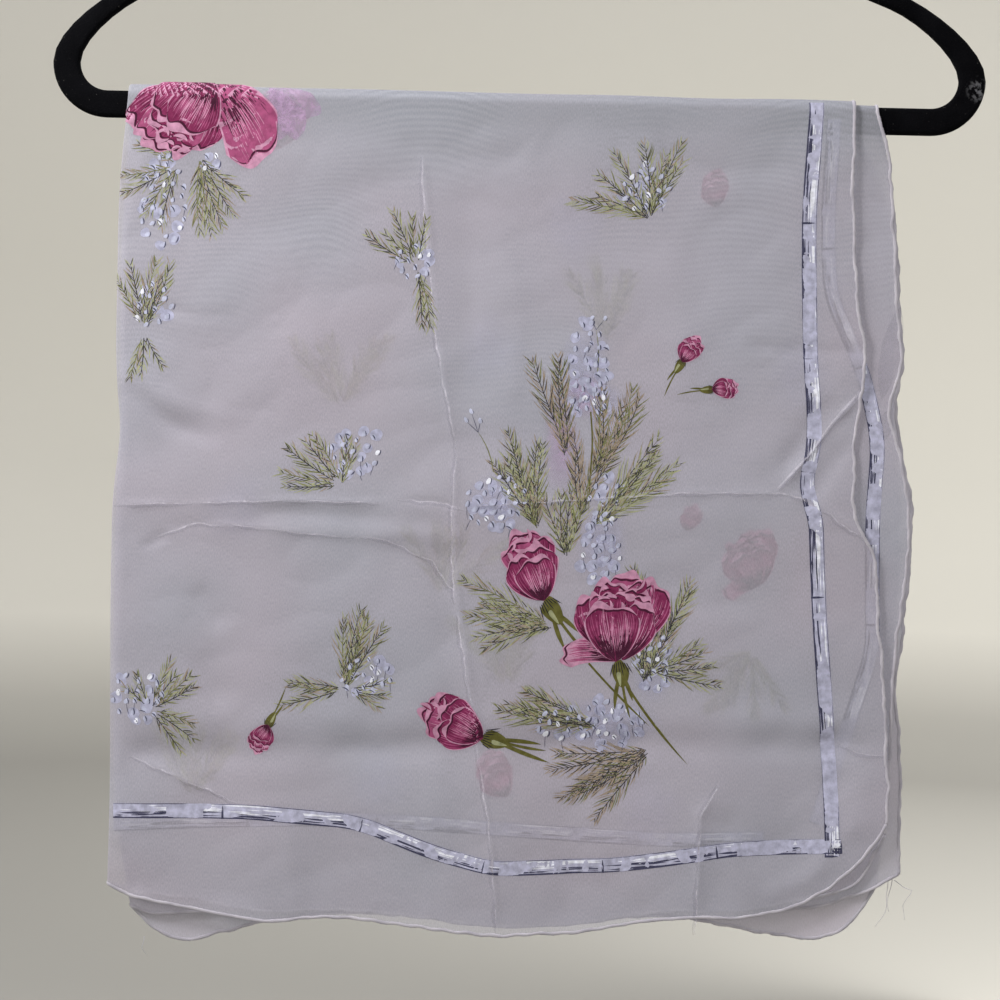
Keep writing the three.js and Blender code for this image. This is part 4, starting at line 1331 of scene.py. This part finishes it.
# ---- Stage, light and camera ----------------------------------------------------------------------
def stage():
    """A wide pale bowl: a level floor that turns up softly all round, with no corner to see."""
    profile = [(0.001, 0), (1.2, 0), (2.3, 0), (2.7, 0.06), (3.0, 0.22), (3.2, 0.5), (3.3, 0.9),
               (3.35, 2.6)]
    bm = bmesh.new()
    verts = [bm.verts.new((radius, 0, FLOOR + up)) for radius, up in profile]
    edges = [bm.edges.new(pair) for pair in zip(verts, verts[1:])]
    bmesh.ops.spin(bm, geom=verts + edges, cent=(0, 0, 0), axis=(0, 0, 1), angle=2 * math.pi,
                   steps=96, use_merge=True)
    bmesh.ops.remove_doubles(bm, verts=bm.verts, dist=0.0001)
    bmesh.ops.recalc_face_normals(bm, faces=bm.faces)
    mesh = bpy.data.meshes.new("floor")
    bm.to_mesh(mesh)
    bm.free()
    mesh.polygons.foreach_set("use_smooth", np.ones(len(mesh.polygons), bool))
    mesh.materials.append(floor_material())
    linked("floor", mesh)


def lamp(name, at, aim, size, power, colour, shadows=True):
    data = bpy.data.lights.new(name, "AREA")
    data.shape, data.size, data.energy, data.color = "DISK", size, power, colour
    data.use_shadow = shadows
    obj = linked(name, data)
    obj.location = at
    obj.rotation_euler = (Vector(aim) - Vector(at)).to_track_quat("-Z", "Y").to_euler()
    obj.visible_camera = False


def light():
    middle = (0, 0, (BAR_TOP - 150) * MM)
    lamp("window", (-0.75, -0.50, 0.38), (0, 0, (BAR_TOP - 90) * MM), 0.35, 15.8, (1.0, 0.99, 0.985))
    lamp("room", (1.5, -1.9, 0.6), middle, 1.8, 8.8, (0.95, 0.965, 1.0), False)
    lamp("wall", (1.0, 1.0, -0.2), (1.1, 3.2, -1.1), 1.8, 15, (1.0, 0.99, 0.96))
    lamp("behind", (0.9, 1.8, 0.5), middle, 1.6, 9, (1.0, 0.99, 0.97), False)
    world = bpy.data.worlds.new("soft room")
    bpy.context.scene.world = world
    world.use_nodes = True
    sky = world.node_tree.nodes["Background"]
    sky.inputs["Color"].default_value = (0.95, 0.95, 1.0, 1)
    sky.inputs["Strength"].default_value = 0.92


def camera():
    """Straight on to the cloth, a touch rolled, with the hanger's bar near the top."""
    lens, sensor, view_width = 70.0, 36.0, 0.4828
    aside, below_bar, roll = -0.0048, 193.4, math.radians(1.29)
    data = bpy.data.cameras.new("camera")
    data.lens, data.sensor_width = lens, sensor
    obj = linked("camera", data)
    obj.location = (aside, -view_width * lens / sensor, (BAR_TOP - below_bar) * MM)
    obj.rotation_euler = (math.pi / 2, -roll, 0)
    bpy.context.scene.camera = obj


# ---- Build ----------------------------------------------------------------------------------------
camera()
light()
stage()
bpy.context.scene.view_settings.view_transform = "Standard"

cloths = {"front": chiffon("lilac grey chiffon", 0.58),
          "back": chiffon("lilac grey chiffon, doubled", 0.92)}
hem_finish = hem_cloth()
for side in SIDES:
    for layer in LAYERS:
        made = leaf(layer, side, cloths[side])
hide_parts("front_outer", "top_outer", "front_left_fold", "top_left_fold")
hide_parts("front_inner", "top_inner")
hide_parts("back_outer", "back_left_fold")
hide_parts("back_inner")

for number, layer in enumerate(LAYERS):
    hem_tube(f"{layer}_side_hem", side_hem_line(layer), hem_finish, 60 + number)
    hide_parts(f"front_{layer}_side_hem", f"top_{layer}_side_hem",
                f"back_{layer}_side_hem")
for number, side in enumerate(SIDES):
    hem_tube(f"{side}_bottom_hem", bottom_hem_line(side), hem_finish, 70 + number)
    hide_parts(f"{side}_outer_bottom_hem", f"{side}_inner_bottom_hem")

draw_print()
for ink, colour in INKS.items():
    screen, soaked = screened(ink)
    made = piece(
        f"print_{ink}", screen, ink_material(ink, colour),
        shaped=lambda flat: place(flat[:, 0], flat[:, 1], flat[:, 2]),
        cut=lambda flat: flat[:, :2] * MM,
        soak=lambda flat: np.stack([soaked, soaked], -1),
    )
    made.visible_shadow = False  # ink in the cloth throws no shadow of its own

loose = threads(hem_finish)

hanger = from_solid("flocked_hanger", flock(), "hanger_body")
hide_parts("hanger_body")
hook = hook_piece(plated_wire())
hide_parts("hanger_hook")
